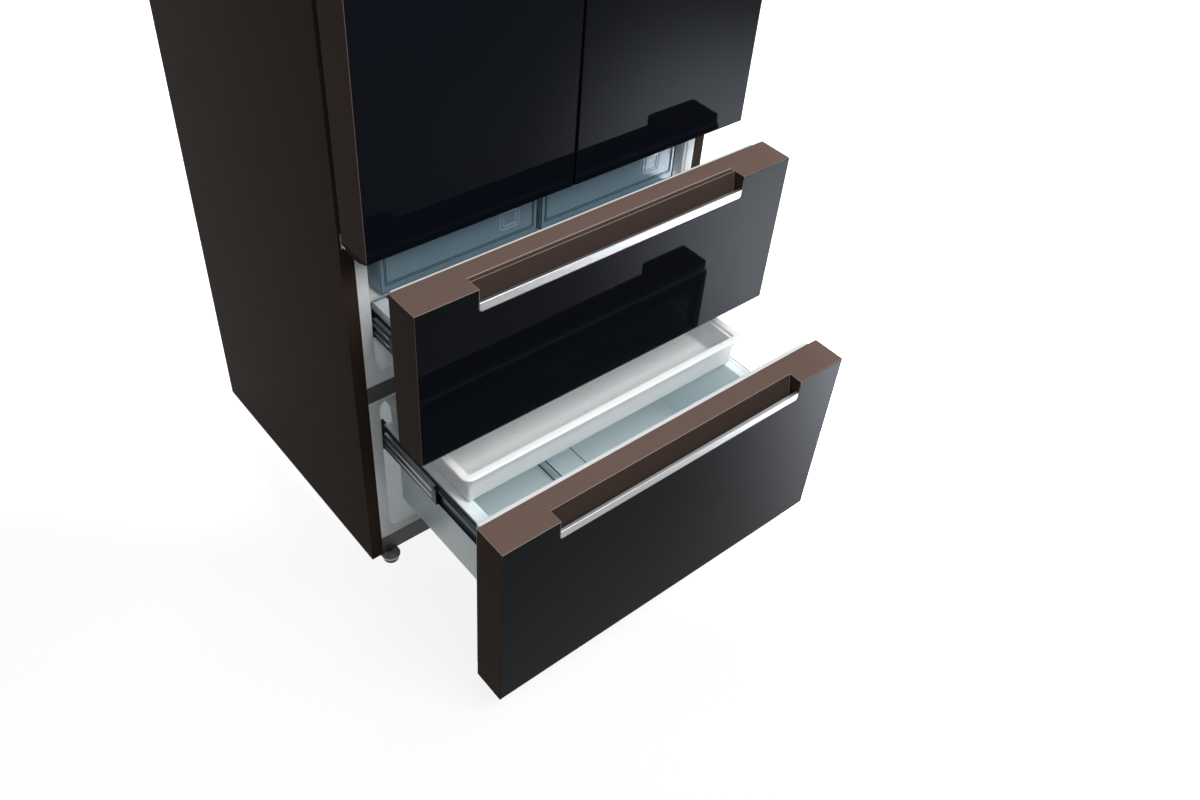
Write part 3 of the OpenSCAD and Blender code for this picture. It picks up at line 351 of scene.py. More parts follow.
silver_trim = brushed("silver_trim", (0.39, 0.395, 0.402), 0.38, "x", 0.10)
rail_steel = brushed("rail_steel", (0.022, 0.026, 0.029), 0.30, "y", 0.14)
rail_dark = brushed("rail_dark", (0.045, 0.062, 0.072), 0.34, "y", 0.16)
# The ridges' paler metal is a painted highlight.
ridge_highlight_metal = brushed("ridge_highlight_metal", (0.34, 0.36, 0.38), 0.28, "y", 0.14)
hinge_steel = brushed("hinge_steel", (0.42, 0.43, 0.44), 0.35, "x", 0.1)
fin_metal = brushed("fin_aluminium", (0.78, 0.79, 0.80), 0.32, "z", 0.08)
copper = brushed("copper_tube", (0.72, 0.36, 0.22), 0.28, "x", 0.12, 0.05)
zinc = spangled("zinc_sheet", (0.42, 0.43, 0.44))

# %% [markdown]
# ## Plastics
# Moulded plastic gets its look from the mould. A spark-eroded mould leaves a fine grain on dark
# parts, and a polished one leaves the white liners glossy with a soft waviness. Clear and milky
# parts let light through: transmission is one number on the shader, and only roughness varies,
# because a pattern in the transmission would be lost when the model is exported.

# %% Moulded plastics
def moulded(name, colour, roughness=0.45, grain=0.12, size=900.0):
    """Opaque plastic. size is how fine the mould's grain is, grain how deep."""
    look = Finish(name, IOR=1.48)
    pits = look.noise(size, 2, 0.6)
    tone = look.blend(look.noise(4, 2), shade(colour, 0.95), shade(colour, 1.05))
    return look.drive(Base_Color=tone, Roughness=roughness - 0.05 + 0.1 * pits,
                      Normal=look.bump(pits, grain, 0.0003))


liner_white = moulded("liner_white", (0.86, 0.885, 0.895), 0.28, 0.03, 140.0)
panel_white = moulded("panel_white", (0.82, 0.83, 0.835), 0.3, 0.03, 140.0)
dark_grain = moulded("mullion_grey", (0.062, 0.058, 0.054), 0.5)
black_grain = moulded("bar_black", (0.020, 0.020, 0.021), 0.5)
cover_dark = moulded("cover_dark", (0.060, 0.048, 0.043), 0.45)
foot_dark = moulded("foot_dark", (0.035, 0.038, 0.038), 0.32, 0.06)
tray_grey = moulded("tray_grey", (0.33, 0.33, 0.32), 0.5)
fan_white = moulded("fan_white", (0.62, 0.63, 0.63), 0.4)
gasket = moulded("seal_grey", (0.58, 0.59, 0.60), 0.6, 0.05)
wheel_black = moulded("wheel_black", (0.022, 0.022, 0.023), 0.5)
foam = moulded("foam", (0.72, 0.60, 0.30), 0.8, 0.6, 160.0)

# %% Clear and milky plastics
def see_through(name, colour, roughness, transmission, milk=0.0):
    """Clear or milky plastic. milk adds light scattered inside the wall."""
    look = Finish(name, IOR=1.45, Transmission_Weight=transmission, Subsurface_Weight=milk,
                  Subsurface_Radius=(0.010, 0.011, 0.012), Subsurface_Scale=1.0)
    flow = look.noise(1.0, 2, at=look.stretched(2.0, 30.0, 30.0))
    return look.drive(Base_Color=look.blend(flow, shade(colour, 0.97), shade(colour, 1.03)),
                      Roughness=roughness - 0.02 + 0.05 * look.noise(60, 2),
                      Normal=look.bump(flow, 0.02, 0.002))


lamp_lens = see_through("lamp_lens", (0.95, 0.95, 0.92), 0.4, 0.5)
tray_milk = see_through("tray_white", (0.93, 0.95, 0.96), 0.28, 0.12, 0.3)
basket_milk = see_through("basket_white", (0.84, 0.96, 1.0), 0.30, 0.12, 0.2)
rim_white = see_through("basket_rim", (0.88, 0.90, 0.905), 0.28, 0.08, 0.2)
bin_blue = see_through("bin_blue", (0.34, 0.50, 0.60), 0.16, 0.45)
bin_line = see_through("bin_line", (0.035, 0.085, 0.115), 0.2, 0.2)
bin_latch = see_through("bin_latch", (0.42, 0.58, 0.66), 0.2, 0.3)
clear_tub = see_through("crisper_clear", (0.86, 0.93, 0.95), 0.06, 0.9)
shelf_glass = see_through("shelf_glass", (0.86, 0.95, 0.93), 0.01, 0.95)

# %% [markdown]
# ## Surfaces from numbers
# A moulded part is mostly one idea: a rectangle with round corners that changes size as it
# rises. It could be pulled from a cube with many modelling steps, but then no size is written
# down. Here a part is a table of rows, each a rectangle, a corner radius and a height, and faces
# join the rows. The whole grid is worked out at once with numpy.

# %% Loops and lofts
def loop(x0, x1, y0, y1, r, steps=6):
    """A rectangle with round corners, anticlockwise. A corner is centre + r (cos t, sin t)
    while t runs over its own quarter turn."""
    t = np.radians(np.arange(4)[:, None] * 90 + np.linspace(0, 90, steps + 1))
    cx = np.array([x1 - r, x0 + r, x0 + r, x1 - r])[:, None]
    cy = np.array([y1 - r, y1 - r, y0 + r, y0 + r])[:, None]
    return np.stack([cx + r * np.cos(t), cy + r * np.sin(t)], -1).reshape(-1, 2)


def loft(rows, axis="z", steps=6):
    """Stacks loops into a grid: row (x0, x1, y0, y1, r, h) is a loop at height h along axis.
    With axis y the loop lies in x and z, and h is y."""
    flat = np.stack([loop(*row[:5], steps) for row in rows])
    height = np.broadcast_to(np.array([row[5] for row in rows])[:, None, None],
                             flat[..., :1].shape)
    parts = (flat, height) if axis == "z" else (flat[..., :1], height, flat[..., 1:])
    return np.concatenate(parts, -1)


def drawn_in(box, a, r, h):
    """A row: box, (x0, x1, y0, y1), made smaller by a on every side, with radius r, at h."""
    x0, x1, y0, y1 = box
    return (x0 + a, x1 - a, y0 + a, y1 - a, r, h)


def arc(radius, steps):
    """(inset, rise) pairs of a quarter round that starts upright and ends level:
    inset = R (1 - cos t), rise = R sin t."""
    t = np.linspace(0, math.pi / 2, steps + 1)
    return list(zip(radius * (1 - np.cos(t)), radius * np.sin(t)))


def fillet(radius):
    """(inset, rise) pairs of a quarter round that starts level, as at a tub's foot."""
    return [(a, radius - h) for a, h in reversed(arc(radius, 4))]


def bar(x0, x1, y0, y1, z0, z1, r=1 * MM):
    """A block with its edges rounded by r, as a grid."""
    box, edge = (x0, x1, y0, y1), arc(r, 2)
    rows = [drawn_in(box, a, max(r - a, 1e-5), z0 + r - h) for a, h in reversed(edge)]
    rows += [drawn_in(box, a, max(r - a, 1e-5), z1 - r + h) for a, h in edge]
    return loft(rows, steps=2)


def mirrored(x0, x1):
    """The same span on the right and on the left."""
    return ((x0, x1), (-x1, -x0))


print("a bar has", bar(0, 1, 0, 1, 0, 1, 0.1).shape[:2], "rows and points")

# %% [markdown]
# ## Pieces
# A grid of points becomes faces by counting: a point, its neighbour, and the two above them.
# A Piece collects such grids and makes them one object. It rides on a body of the CAD model, so
# it moves with that body's joint, and it can stand for the CAD nodes that it replaces.

# %% Pieces
def object_from(name, mesh, finish, sharp=40):
    """An object with one finish, smooth but for the edges over sharp degrees."""
    mesh.materials.clear()
    mesh.materials.append(finish.material)
    mesh.shade_smooth()
    mesh.set_sharp_from_angle(angle=math.radians(sharp))
    made = bpy.data.objects.new(name, mesh)
    bpy.context.scene.collection.objects.link(made)
    return made


def settle(obj, body, replaces=()):
    """Says which body the piece rides on and the nodes that it stands for."""
    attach(obj, body)
    if replaces:
        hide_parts(*replaces)
    print(f"{obj.name}: {len(obj.data.polygons)} faces on {body}")


class Piece:
    """Collects surfaces and makes them one object that rides on a CAD body."""

    def __init__(self, name):
        self.name, self.points, self.faces, self.count = name, [], [], 0

    def add(self, grid, ring=False, flip=False):
        """grid is rows x points x 3, and each row closes on itself. The first and the last row
        get a face each, or are joined to each other if ring is set. flip turns the faces of a
        walk that would be inside out."""
        rows, cols = grid.shape[:2]
        i = np.arange(rows if ring else rows - 1)[:, None]
        j = np.arange(cols)[None, :]
        ni, nj = (i + 1) % rows, (j + 1) % cols
        quads = np.stack([i * cols + j, i * cols + nj, ni * cols + nj, ni * cols + j], -1)
        ends = () if ring else (np.arange(cols)[::-1], np.arange(cols) + (rows - 1) * cols)
        turn = -1 if flip else 1
        self.faces += (quads.reshape(-1, 4)[:, ::turn] + self.count).tolist()
        self.faces += [(end[::turn] + self.count).tolist() for end in ends]
        self.points.append(grid.reshape(-1, 3))
        self.count += rows * cols
        return self

    def done(self, body, finish, slot, replaces=()):
        """Makes the object out of all that was added, and settles it."""
        mesh = bpy.data.meshes.new(self.name)
        mesh.from_pydata(np.concatenate(self.points).tolist(), [], self.faces)
        settle(object_from(self.name, mesh, finish), body, replaces)


# %% [markdown]
# ## Edges that catch the light
# No real edge is perfectly sharp, and a thin highlight along it is what the eye expects. The CAD
# solids are sharp, so each one that shows is copied, its loose triangles are merged back into
# flat faces, and a narrow bevel rounds what is left. Rebuilding such plain solids as new
# surfaces would gain nothing: the copy keeps the solid's place and size.

# %% Rounded copies of CAD nodes
BODY_OF = {n: o["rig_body"] for n, o in nodes.items()}
SHARP = 35


def eased(node, finish, width, edge=None):
    """A copy of a CAD node that stands for it, with its edges over SHARP degrees rounded. edge
    is a second finish, for the rounded edges alone."""
    mesh = nodes[node].data.copy()
    shell = bmesh.new()
    shell.from_mesh(mesh)
    bmesh.ops.remove_doubles(shell, verts=shell.verts, dist=2e-6)
    bmesh.ops.dissolve_limit(shell, angle_limit=math.radians(0.6), verts=shell.verts,
                             edges=shell.edges)
    shell.to_mesh(mesh)
    shell.free()
    made = object_from(node + "_shape", mesh, finish, SHARP)
    rounder = made.modifiers.new("soft_edges", "BEVEL")
    rounder.width, rounder.segments = width, 2
    rounder.limit_method, rounder.angle_limit = "ANGLE", math.radians(SHARP)
    rounder.use_clamp_overlap = True
    rounder.harden_normals = True
    if edge:
        mesh.materials.append(edge.material)
        rounder.material = 1
    settle(made, BODY_OF[node], [node])


def recolour(node, finish):
    """Gives a CAD node that stays as it is its finish."""
    nodes[node].data.materials.clear()
    nodes[node].data.materials.append(finish.material)
    print(node, "keeps its CAD mesh")


for finish, width, *copied in (
        (cabinet_paint, 0.5, "cabinet_shell"),
        (door_paint, 0.7, "left_door_frame", "right_door_frame"),
        (door_glass, 0.8, "left_door_glass", "right_door_glass"),
        (drawer_glass, 0.8, "middle_front_glass", "lower_front_glass"),
        (silver_trim, 0.5, "middle_grip_trim", "lower_grip_trim"),
        (dark_grain, 1.2, "mullions"),
        (black_grain, 1.5, "bottom_bar"),
        (rail_steel, 0.3, "outer_rails", "middle_slide_members", "lower_slide_members"),
        (rail_dark, 0.3, "middle_inner_rails", "lower_inner_rails"),
        (hinge_steel, 0.4, "hinge_brackets"),
        (cover_sheet, 0.3, "machine_cover"),
        (zinc, 0.3, "base_plate"),
        (black_enamel, 1.5, "compressor"),
        (black_grain, 0.6, "fan_bracket"),
        (tray_grey, 0.6, "drip_tray"),
        (black_grain, 0.6, "power_inlet"),
        (panel_white, 0.8, "evaporator_cover"),
        (panel_white, 1.2, "air_duct"),
        (panel_white, 2.5, "mullion_flap")):
    for node in copied:
        eased(node, finish, width * MM)
# The drawer frames' rounded edges take the painted highlight and shade.
eased("middle_front_frame", middle_paint, 0.9 * MM, edge=edge_light_and_shade)
eased("lower_front_frame", lower_paint, 0.9 * MM, edge=edge_light_and_shade)
recolour("insulation", foam)
recolour("back_panel", grey_sheet)
recolour("evaporator", fin_metal)

# %% [markdown]
# ## Liners
# Each compartment is a thin white shell that is drawn from one sheet: a flat flange against the
# cabinet's front, a soft step, deep walls and a rounded back. A box with a Solidify modifier
# would have no such flange. Walking the rows from the hidden outside, round the flange and into
# the hollow gives the wall its thickness in one surface.

# %% A liner's walk
WALL = 2.5 * MM
SIDE_RIM = 25 * MM
CAVITY_R, BACK_R = 22 * MM, 18 * MM
SILL_AND_HEAD = {"fridge": (12 * MM, 14 * MM), "middle": (24 * MM, 10 * MM),
                 "lower": (18 * MM, 10 * MM)}
FLANGE_STEP = ((7, 0), (6, 0.4), (5.4, 1.6), (4.8, 2.4), (2.2, 2.8), (0.8, 3.6), (0, 5.5))


def liner_walk(compartment):
    """Rows from the back of the hidden outside, over the flange and down to the hollow's back.
    The flange's step is (growth, depth) in mm, and the back rounds off like a quarter circle."""
    lo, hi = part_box(compartment + "_liner")
    sill, head = SILL_AND_HEAD[compartment]
    front, back = lo.y, hi.y

    def row(side, low, high, radius, y):
        return (side - hi.x, hi.x - side, lo.z + low, hi.z - high, radius, y)

    def cavity(grow, y):
        return row(SIDE_RIM - grow, sill - grow, head - grow, CAVITY_R + grow, y)

    rows = [cavity(WALL - BACK_R * 0.7, back), cavity(WALL - BACK_R * 0.2, back - 6 * MM),
            cavity(WALL, back - BACK_R), cavity(WALL, front + WALL),
            row(0, 0, 0, 1 * MM, front + WALL), row(0, 0, 0, 1 * MM, front + 0.4 * MM),
            row(0.4 * MM, 0.4 * MM, 0.4 * MM, 1 * MM, front)]
    rows += [cavity(grow * MM, front + y * MM) for grow, y in FLANGE_STEP]
    rows += [cavity(-inset, back - WALL - BACK_R + rise) for inset, rise in arc(BACK_R, 5)]
    return loft(rows, "y")


def liner(compartment, ledges=()):
    """A compartment's shell, with the ledges that are moulded on its walls."""
    name = compartment + "_liner"
    shell = Piece(name + "_shell").add(liner_walk(compartment))
    for ledge in ledges:
        shell.add(ledge)
    shell.done("cabinet", liner_white, "liner_white", [name])


# %% Compartment liners
SHELF_Z = [1.100, 1.320, 1.530]
shelf_lo, shelf_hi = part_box("glass_shelves")
cover_lo, cover_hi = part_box("evaporator_cover")
cavity_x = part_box("fridge_liner")[1].x - SIDE_RIM

liner("fridge", [bar(x0, x1, shelf_lo.y + 13 * MM, shelf_hi.y, z - 10 * MM, z)
                 for z in SHELF_Z for x0, x1 in mirrored(cavity_x - 9 * MM, cavity_x + 1 * MM)])
liner("middle", [bar(x0, x1, cover_lo.y + 4 * MM, cover_lo.y + 16 * MM, cover_lo.z + 20 * MM,
                     cover_hi.z - 20 * MM)
                 for x0, x1 in mirrored(cavity_x - 14 * MM, cavity_x + 1 * MM)])
liner("lower")

# %% [markdown]
# ## Runners under the bins
# The two blue bins slide on a white frame between them and the drawer below. It is only bars, so
# it is built from bars: two side runners, one in the middle and two that tie them together.

# %% Bin runners
bin_lo, bin_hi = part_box("left_bin")
top, low, front = bin_lo.z - 0.3 * MM, bin_lo.z - 10 * MM, bin_lo.y + 8 * MM
runner = Piece("bin_runner_frame")
for x0, x1 in mirrored(cavity_x - 32 * MM, cavity_x):
    runner.add(bar(x0, x1, front, bin_hi.y, low, top))
for y in (front, bin_hi.y - 14 * MM):
    runner.add(bar(-cavity_x, cavity_x, y, y + 14 * MM, low + 0.2 * MM, top - 0.2 * MM))
runner.add(bar(-14 * MM, 14 * MM, front, bin_hi.y, low, top))
runner.done("cabinet", rim_white, "liner_white")

# %% [markdown]
# ## The lift-out tray
# Tray, baskets, bins and crispers are open boxes with a thin wall. All are drawn by one walk: up
# the outside, over the rim and down the inside to the floor. The rim decides the look: the tray's
# is thick and rolled over like that of a baking dish, with a ledge inside it.

# %% Tray
def rolled(width, thick):
    """A rim's half round, as (outset, drop) pairs from its underside, out and over:
    outset = W - T + T cos t, drop = T - T sin t."""
    t = np.linspace(-math.pi / 2, math.pi / 2, 7)
    return [(width - thick + thick * math.cos(a), thick - thick * math.sin(a)) for a in t]


def tray_walk(lo, hi, rim, r):
    """The tray's rows: a foot, a shoulder below the rim, the rolled rim, a ledge inside it and
    the floor. Each pair is (inset from the wall, height), a negative inset goes outwards."""
    z0, z1 = lo.z, hi.z
    walk = [(3 * MM + a, z0 + h) for a, h in fillet(6 * MM)]
    walk += [(1 * MM, z1 - 27 * MM), (-2.2 * MM, z1 - 24 * MM), (-2.8 * MM, z1 - 9 * MM)]
    walk += [(-out, z1 - drop) for out, drop in rolled(rim, 3.4 * MM)]
    walk += [(a * MM, z1 - drop * MM) for a, drop in
             ((3.6, 0), (4.6, 1.2), (5.2, 6.5), (8.8, 7.6), (9.8, 10))]
    walk += [(11 * MM + a, z0 + 2.8 * MM + h) for a, h in reversed(fillet(6 * MM))]
    wall = (lo.x + rim, hi.x - rim, lo.y + rim, hi.y - rim)
    return loft([drawn_in(wall, a, max(r - a, 1.5 * MM), z) for a, z in walk], steps=8)


Piece("freezer_tray_tub").add(tray_walk(*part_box("freezer_tray"), 11 * MM, 8 * MM)).done(
    "tray", tray_milk, "tray_white", ["freezer_tray"])

# %% [markdown]
# ## Baskets
# A basket hangs from its flange between the drawer's rails. The deep tub with its flange is one
# walk again. The strips on the flange are whiter than the milky tub, so they are a piece of their
# own that lies on it. The lower basket's floor has a ridge with a dark seam at each side.

# %% Baskets
BASKET_SIDE = 25 * MM
FLANGE = 3.2 * MM
STRIP = 1.2 * MM


def basket(level, lip, ridges=()):
    """A basket's tub, and a rim of strips on its flange, whose outer edge hangs down by lip."""
    name, body = level + "_basket", level + "_drawer"
    lo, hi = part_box(name)
    x1, y0, y1 = hi.x - BASKET_SIDE, lo.y, hi.y
    top, tub_box, brim = hi.z - STRIP, (-x1, x1, y0, y1), (-hi.x, hi.x, y0, y1)
    rows = [drawn_in(tub_box, a, 10 * MM - a * 0.4, lo.z + h) for a, h in fillet(14 * MM)]
    rows += [drawn_in(tub_box, 0, 5 * MM, top - FLANGE), (*brim, 1.5 * MM, top - FLANGE),
             (*brim, 1.5 * MM, top), drawn_in(tub_box, 1.5 * MM, 4 * MM, top),
             drawn_in(tub_box, WALL, 4 * MM, top - 1.2 * MM)]
    rows += [drawn_in(tub_box, WALL + a, 8 * MM - a * 0.3, lo.z + WALL + h)
             for a, h in reversed(fillet(12 * MM))]
    tub = Piece(name + "_tub").add(loft(rows))
    for ridge in ridges:
        tub.add(ridge)
    tub.done(body, basket_milk, "basket_white", [name])

    # A strip's inner and outer edge are distances from the side, its underside and upper face
    # distances below the rim's top.
    rim = Piece(name + "_rim")
    for inner, outer, rear, under, over, r in (
            (9 * MM, 0, y1, 2 * MM, 0, 0.6 * MM),
            (24 * MM, 9.6 * MM, y0 + 66 * MM, 2 * MM, 0, 0.6 * MM),
            (2 * MM, 0, y1, lip, 3 * MM, 0.5 * MM)):
        for left, right in mirrored(hi.x - inner, hi.x - outer):
            rim.add(bar(left, right, y0, rear, hi.z - under, hi.z - over, r))
    rim.done(body, rim_white, "basket_white")


lo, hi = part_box("lower_basket")
basket("lower", 6 * MM, [bar(-34 * MM, 34 * MM, lo.y + 4 * MM, hi.y - 4 * MM, lo.z + 2 * MM,
                             lo.z + 34.5 * MM, 3 * MM)])
seam = Piece("lower_basket_seams")
for x0, x1 in mirrored(32.6 * MM, 34.6 * MM):
    seam.add(bar(x0, x1, lo.y + 3 * MM, hi.y - 3 * MM, lo.z + 32 * MM, lo.z + 34.9 * MM,
                 0.8 * MM))
    seam.add(bar(x0 - 1 * MM, x1 + 1 * MM, lo.y + 3 * MM, hi.y - 3 * MM, lo.z + 2 * MM,
                 lo.z + 3.4 * MM, 0.5 * MM))
seam.done("lower_drawer", bin_line, "basket_white")
basket("middle", 20 * MM)

# %% [markdown]
# ## Bins, crispers and door bins
# The clear and blue boxes have plain edges that are only broken by a small lip. The bins' fronts
# carry raised lines and a latch plate. A texture would look painted on from the side, so each
# line is a half round that is carried round a loop and lies on the front.

# %% Tubs with plain edges
SOFT_LIP = ((0.3, 0.6), (1.2, 0))


def tub(box, z0, z1, r, foot, rim, front=WALL):
    """An open box as a grid. foot is the round between floor and wall, rim a list of (inset,
    distance below the top) in mm, and front the front wall's thickness."""
    x0, x1, y0, y1 = box
    hollow = (x0 + WALL, x1 - WALL, y0 + front, y1 - WALL)

    def row(around, a, radius, z):
        return drawn_in(around, a, max(radius - a, 0.5 * MM), z)

    rows = [row(box, a, r, z0 + h) for a, h in fillet(foot)]
    rows += [row(box, a * MM, r, z1 - drop * MM) for a, drop in rim]
    rows += [row(hollow, 0, r - WALL, z1 - 3 * MM)]
    rows += [row(hollow, a, r - WALL, z0 + WALL + h) for a, h in reversed(fillet(foot))]
    return loft(rows)


def bead(x0, x1, z0, z1, y, width, proud, r):
    """A raised line on a front face, closed on itself: its section is a low half round,
    inset = W/2 (1 - cos t), y = Y - P sin t, cut off a little behind the face."""
    section = [(width * 0.5 * (1 - math.cos(t)), y - proud * max(math.sin(t), -0.3))
               for t in np.linspace(0, 2 * math.pi, 8, endpoint=False)]
    return loft([drawn_in((x0, x1, z0, z1), a, max(r - a, 0.4 * MM), depth)
                 for a, depth in section], "y")


# %% Blue bins
def blue_bin(side):
    """A bin's tub, the raised lines on its front and its latch plate."""
    name = side + "_bin"
    lo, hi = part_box(name)
    Piece(name + "_tub").add(tub((lo.x, hi.x, lo.y + 1.2 * MM, hi.y), lo.z, hi.z, 4 * MM, 4 * MM,
                                 ((0, 1.2), (0.6, 0)), 3.2 * MM)).done(
        name, bin_blue, "bin_blue", [name])
    face = lo.y + 1.4 * MM
    lines, latch = Piece(name + "_lines"), Piece(name + "_latch")
    for inset, low in ((0.8 * MM, 2 * MM), (9 * MM, 17 * MM), (12 * MM, 21 * MM)):
        lines.add(bead(lo.x + inset, hi.x - inset, lo.z + low, hi.z - inset, face, 1.7 * MM,
                       1.3 * MM, 3 * MM), ring=True)
    lines.done(name, bin_line, "bin_blue")
    for inset in (0, 7 * MM):
        latch.add(bead(hi.x - 88 * MM + inset, hi.x - 42 * MM - inset, hi.z - 62 * MM + inset,
                       hi.z - 14 * MM - inset, face, 4.5 * MM, 1.3 * MM, 9 * MM - inset),
                  ring=True)
    latch.done(name, bin_latch, "bin_blue")


# %% Crispers and door bins
def crisper(side):
    """A clear drawer with a pull bar behind its front edge."""
    name = side + "_crisper"
    lo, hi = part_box(name)
    box = Piece(name + "_tub").add(tub((lo.x, hi.x, lo.y, hi.y), lo.z, hi.z, 6 * MM, 8 * MM,
                                       ((0, 2.5), *SOFT_LIP), 5 * MM))
    box.add(bar(lo.x + 90 * MM, hi.x - 90 * MM, lo.y + 0.8 * MM, lo.y + 16 * MM,
                hi.z - 8 * MM, hi.z - 3.4 * MM, 1.5 * MM))
    box.done(name, clear_tub, "crisper_clear", [name])


def door_bins(side):
    """Three clear tubs, each 86 mm high, one above the other."""
    lo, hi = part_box(side + "_door_bins")
    bins = Piece(side + "_door_bin_tubs")
    for z in [lo.z + rise * MM for rise in (0, 230, 440)]:
        bins.add(tub((lo.x, hi.x, lo.y, hi.y), z, z + 86 * MM, 10 * MM, 6 * MM,
                     ((0, 2), *SOFT_LIP)))
    bins.done(side + "_door", clear_tub, "door_bin_clear", [side + "_door_bins"])


for side in SIDES:
    blue_bin(side)
    crisper(side)
    door_bins(side)

# %% [markdown]
# ## Ridges on the slides
# A slide's middle member is rolled from strip, with two ridges that stiffen it and a black stop
# at its front end. A bump in the material could stand for the ridges from afar. Thin rounded bars
# on the member's face catch the light all along, from any side, and their metal is much paler
# than the member's: a painted highlight.

# %% Slides
for level in LEVELS:
    lo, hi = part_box(level + "_slide_members")
    mid, rear = (lo.z + hi.z) / 2, hi.y - 6 * MM
    ridges, stops = Piece(level + "_slide_ridges"), Piece(level + "_slide_stops")
    for x0, x1 in mirrored(hi.x - 0.4 * MM, hi.x + 0.7 * MM):
        for z in (mid - 9 * MM, mid + 9 * MM):
            ridges.add(bar(x0, x1, lo.y + 14 * MM, rear, z - 2.2 * MM, z + 2.2 * MM, 0.45 * MM))
        stops.add(bar(x0, x1, lo.y + 0.6 * MM, lo.y + 13 * MM, lo.z + 3 * MM, hi.z - 3 * MM,
                      0.45 * MM))
    for x0, x1 in mirrored(hi.x - 7.5 * MM, hi.x - 1 * MM):
        ridges.add(bar(x0, x1, lo.y + 10 * MM, rear, hi.z - 0.2 * MM, hi.z + 0.35 * MM,
                       0.25 * MM))
    ridges.done(level + "_slides", ridge_highlight_metal, "rail_steel")
    stops.done(level + "_slides", black_grain, "rail_steel")

# %% [markdown]
# ## Shelves
# A shelf is tempered glass with a white moulding clipped to its front edge. Both are plain
# enough for bars, the moulding with a larger round.

# %% Shelves
plates, trims = Piece("shelf_plates"), Piece("shelf_front_trims")
for z in SHELF_Z:
    plates.add(bar(shelf_lo.x, shelf_hi.x, shelf_lo.y + 12 * MM, shelf_hi.y, z, z + 4 * MM,
                   0.8 * MM))
    trims.add(bar(shelf_lo.x, shelf_hi.x, shelf_lo.y, shelf_lo.y + 12.6 * MM, z - 4 * MM,
                  z + 10 * MM, 2.5 * MM))
plates.done("cabinet", shelf_glass, "shelf_glass", ["glass_shelves"])
trims.done("cabinet", panel_white, "liner_white")

# %% [markdown]
# ## Door liners
# The back of a door is one moulding: a plate, and a raised wall round the bins. Extruding a wall
# from a plate leaves hard corners, so the wall is a section with two round shoulders that is
# carried round the door, and it joins itself where it began.

# %% Door liners
def swept_ring(box, r, section):
    """A closed section of (inset, y) pairs carried round a rectangle with round corners."""
    return loft([drawn_in(box, a, max(r - a, 0.6 * MM), y) for a, y in section], "y")


def plate(box, y0, y1, r, soft):
    """A plate from y0 to y1 with its rear edge rounded by soft."""
    rows = [(*box, r, y0)]
    rows += [drawn_in(box, a, max(r - a, 0.5 * MM), y1 - soft + h) for a, h in arc(soft, 4)]
    return loft(rows, "y")


def wall_section(y0, y1, width, soft):
    """The raised wall's section: up outside, over two round shoulders and down inside."""
    shoulder = arc(soft, 4)
    outer = [(a, y1 - soft + h) for a, h in shoulder]
    inner = [(width - soft + h, y1 - a) for a, h in shoulder]
    return [(0, y0), *outer, *inner, (width, y0)]


def door_liner(side):
    """A door's plate and wall, and on the left door the two ears that hold the flap."""
    lo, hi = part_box(side + "_door_liner")
    bins_lo, bins_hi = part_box(side + "_door_bins")
    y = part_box(side + "_door_seal")[0].y
    wide, end = 22 * MM, 53 * MM
    piece = Piece(side + "_door_liner_shell")
    piece.add(plate((lo.x, hi.x, lo.z, hi.z), y - 3 * MM, y, 2 * MM, 0.5 * MM), flip=True)
    piece.add(swept_ring((bins_lo.x - wide, bins_hi.x + wide, lo.z + end, hi.z - end), 20 * MM,
                         wall_section(y - 1 * MM, y + 36 * MM, wide, 6 * MM)),
              ring=True, flip=True)
    if side == "left":
        flap_lo, flap_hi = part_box("mullion_flap")
        for z in (flap_lo.z - 0.3 * MM, flap_hi.z - 4.7 * MM):
            piece.add(bar(flap_lo.x - 7 * MM, flap_hi.x, y - 1 * MM, flap_lo.y + 18 * MM, z,
                          z + 5 * MM))
    piece.done(side + "_door", panel_white, "liner_white", [side + "_door_liner"])


for side in SIDES:
    door_liner(side)

# %% [markdown]
# ## Seals
# A seal is a hollow rubber strip with a bellows and a pocket for its magnet. A plain strip would
# do from afar, but the folds show when a door stands open. The section is a closed curve that is
# carried round the door or the drawer's front, as the raised wall was.

# %% Seals
def seal_section(y0, y1, width):
    """A gasket's section: foot on the door, a bellows of two folds and a flat magnet pocket, as
    shares of its width and depth."""
    outer = [(0.16, 0.00), (0.16, 0.12), (0.02, 0.22), (0.00, 0.32), (0.10, 0.42), (0.12, 0.52),
             (0.02, 0.62), (0.00, 0.90), (0.05, 1.00)]
    inner = [(0.95, 1.00), (1.00, 0.90), (0.98, 0.62), (0.88, 0.52), (0.90, 0.42), (1.00, 0.32),
             (0.98, 0.22), (0.84, 0.12), (0.84, 0.00)]
    return [(a * width, y0 + b * (y1 - y0)) for a, b in outer + inner]


for name, body in (("left_door", "left_door"), ("right_door", "right_door"),
                   ("middle", "middle_drawer"), ("lower", "lower_drawer")):
    lo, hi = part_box(name + "_seal")
    Piece(name + "_gasket").add(swept_ring(
        (lo.x, hi.x, lo.z, hi.z), 4 * MM, seal_section(lo.y, hi.y, 15 * MM)), ring=True,
        flip=True).done(body, gasket, "seal_grey", [name + "_seal"])

# %% [markdown]
# ## Inner panels of the drawer fronts
# Behind a drawer's front is a white panel that plugs the compartment when the drawer is shut. It
# is two plates, a thin one as wide as the front and a thick one that fits the liner's opening, so
# its size is worked out from the liner's.

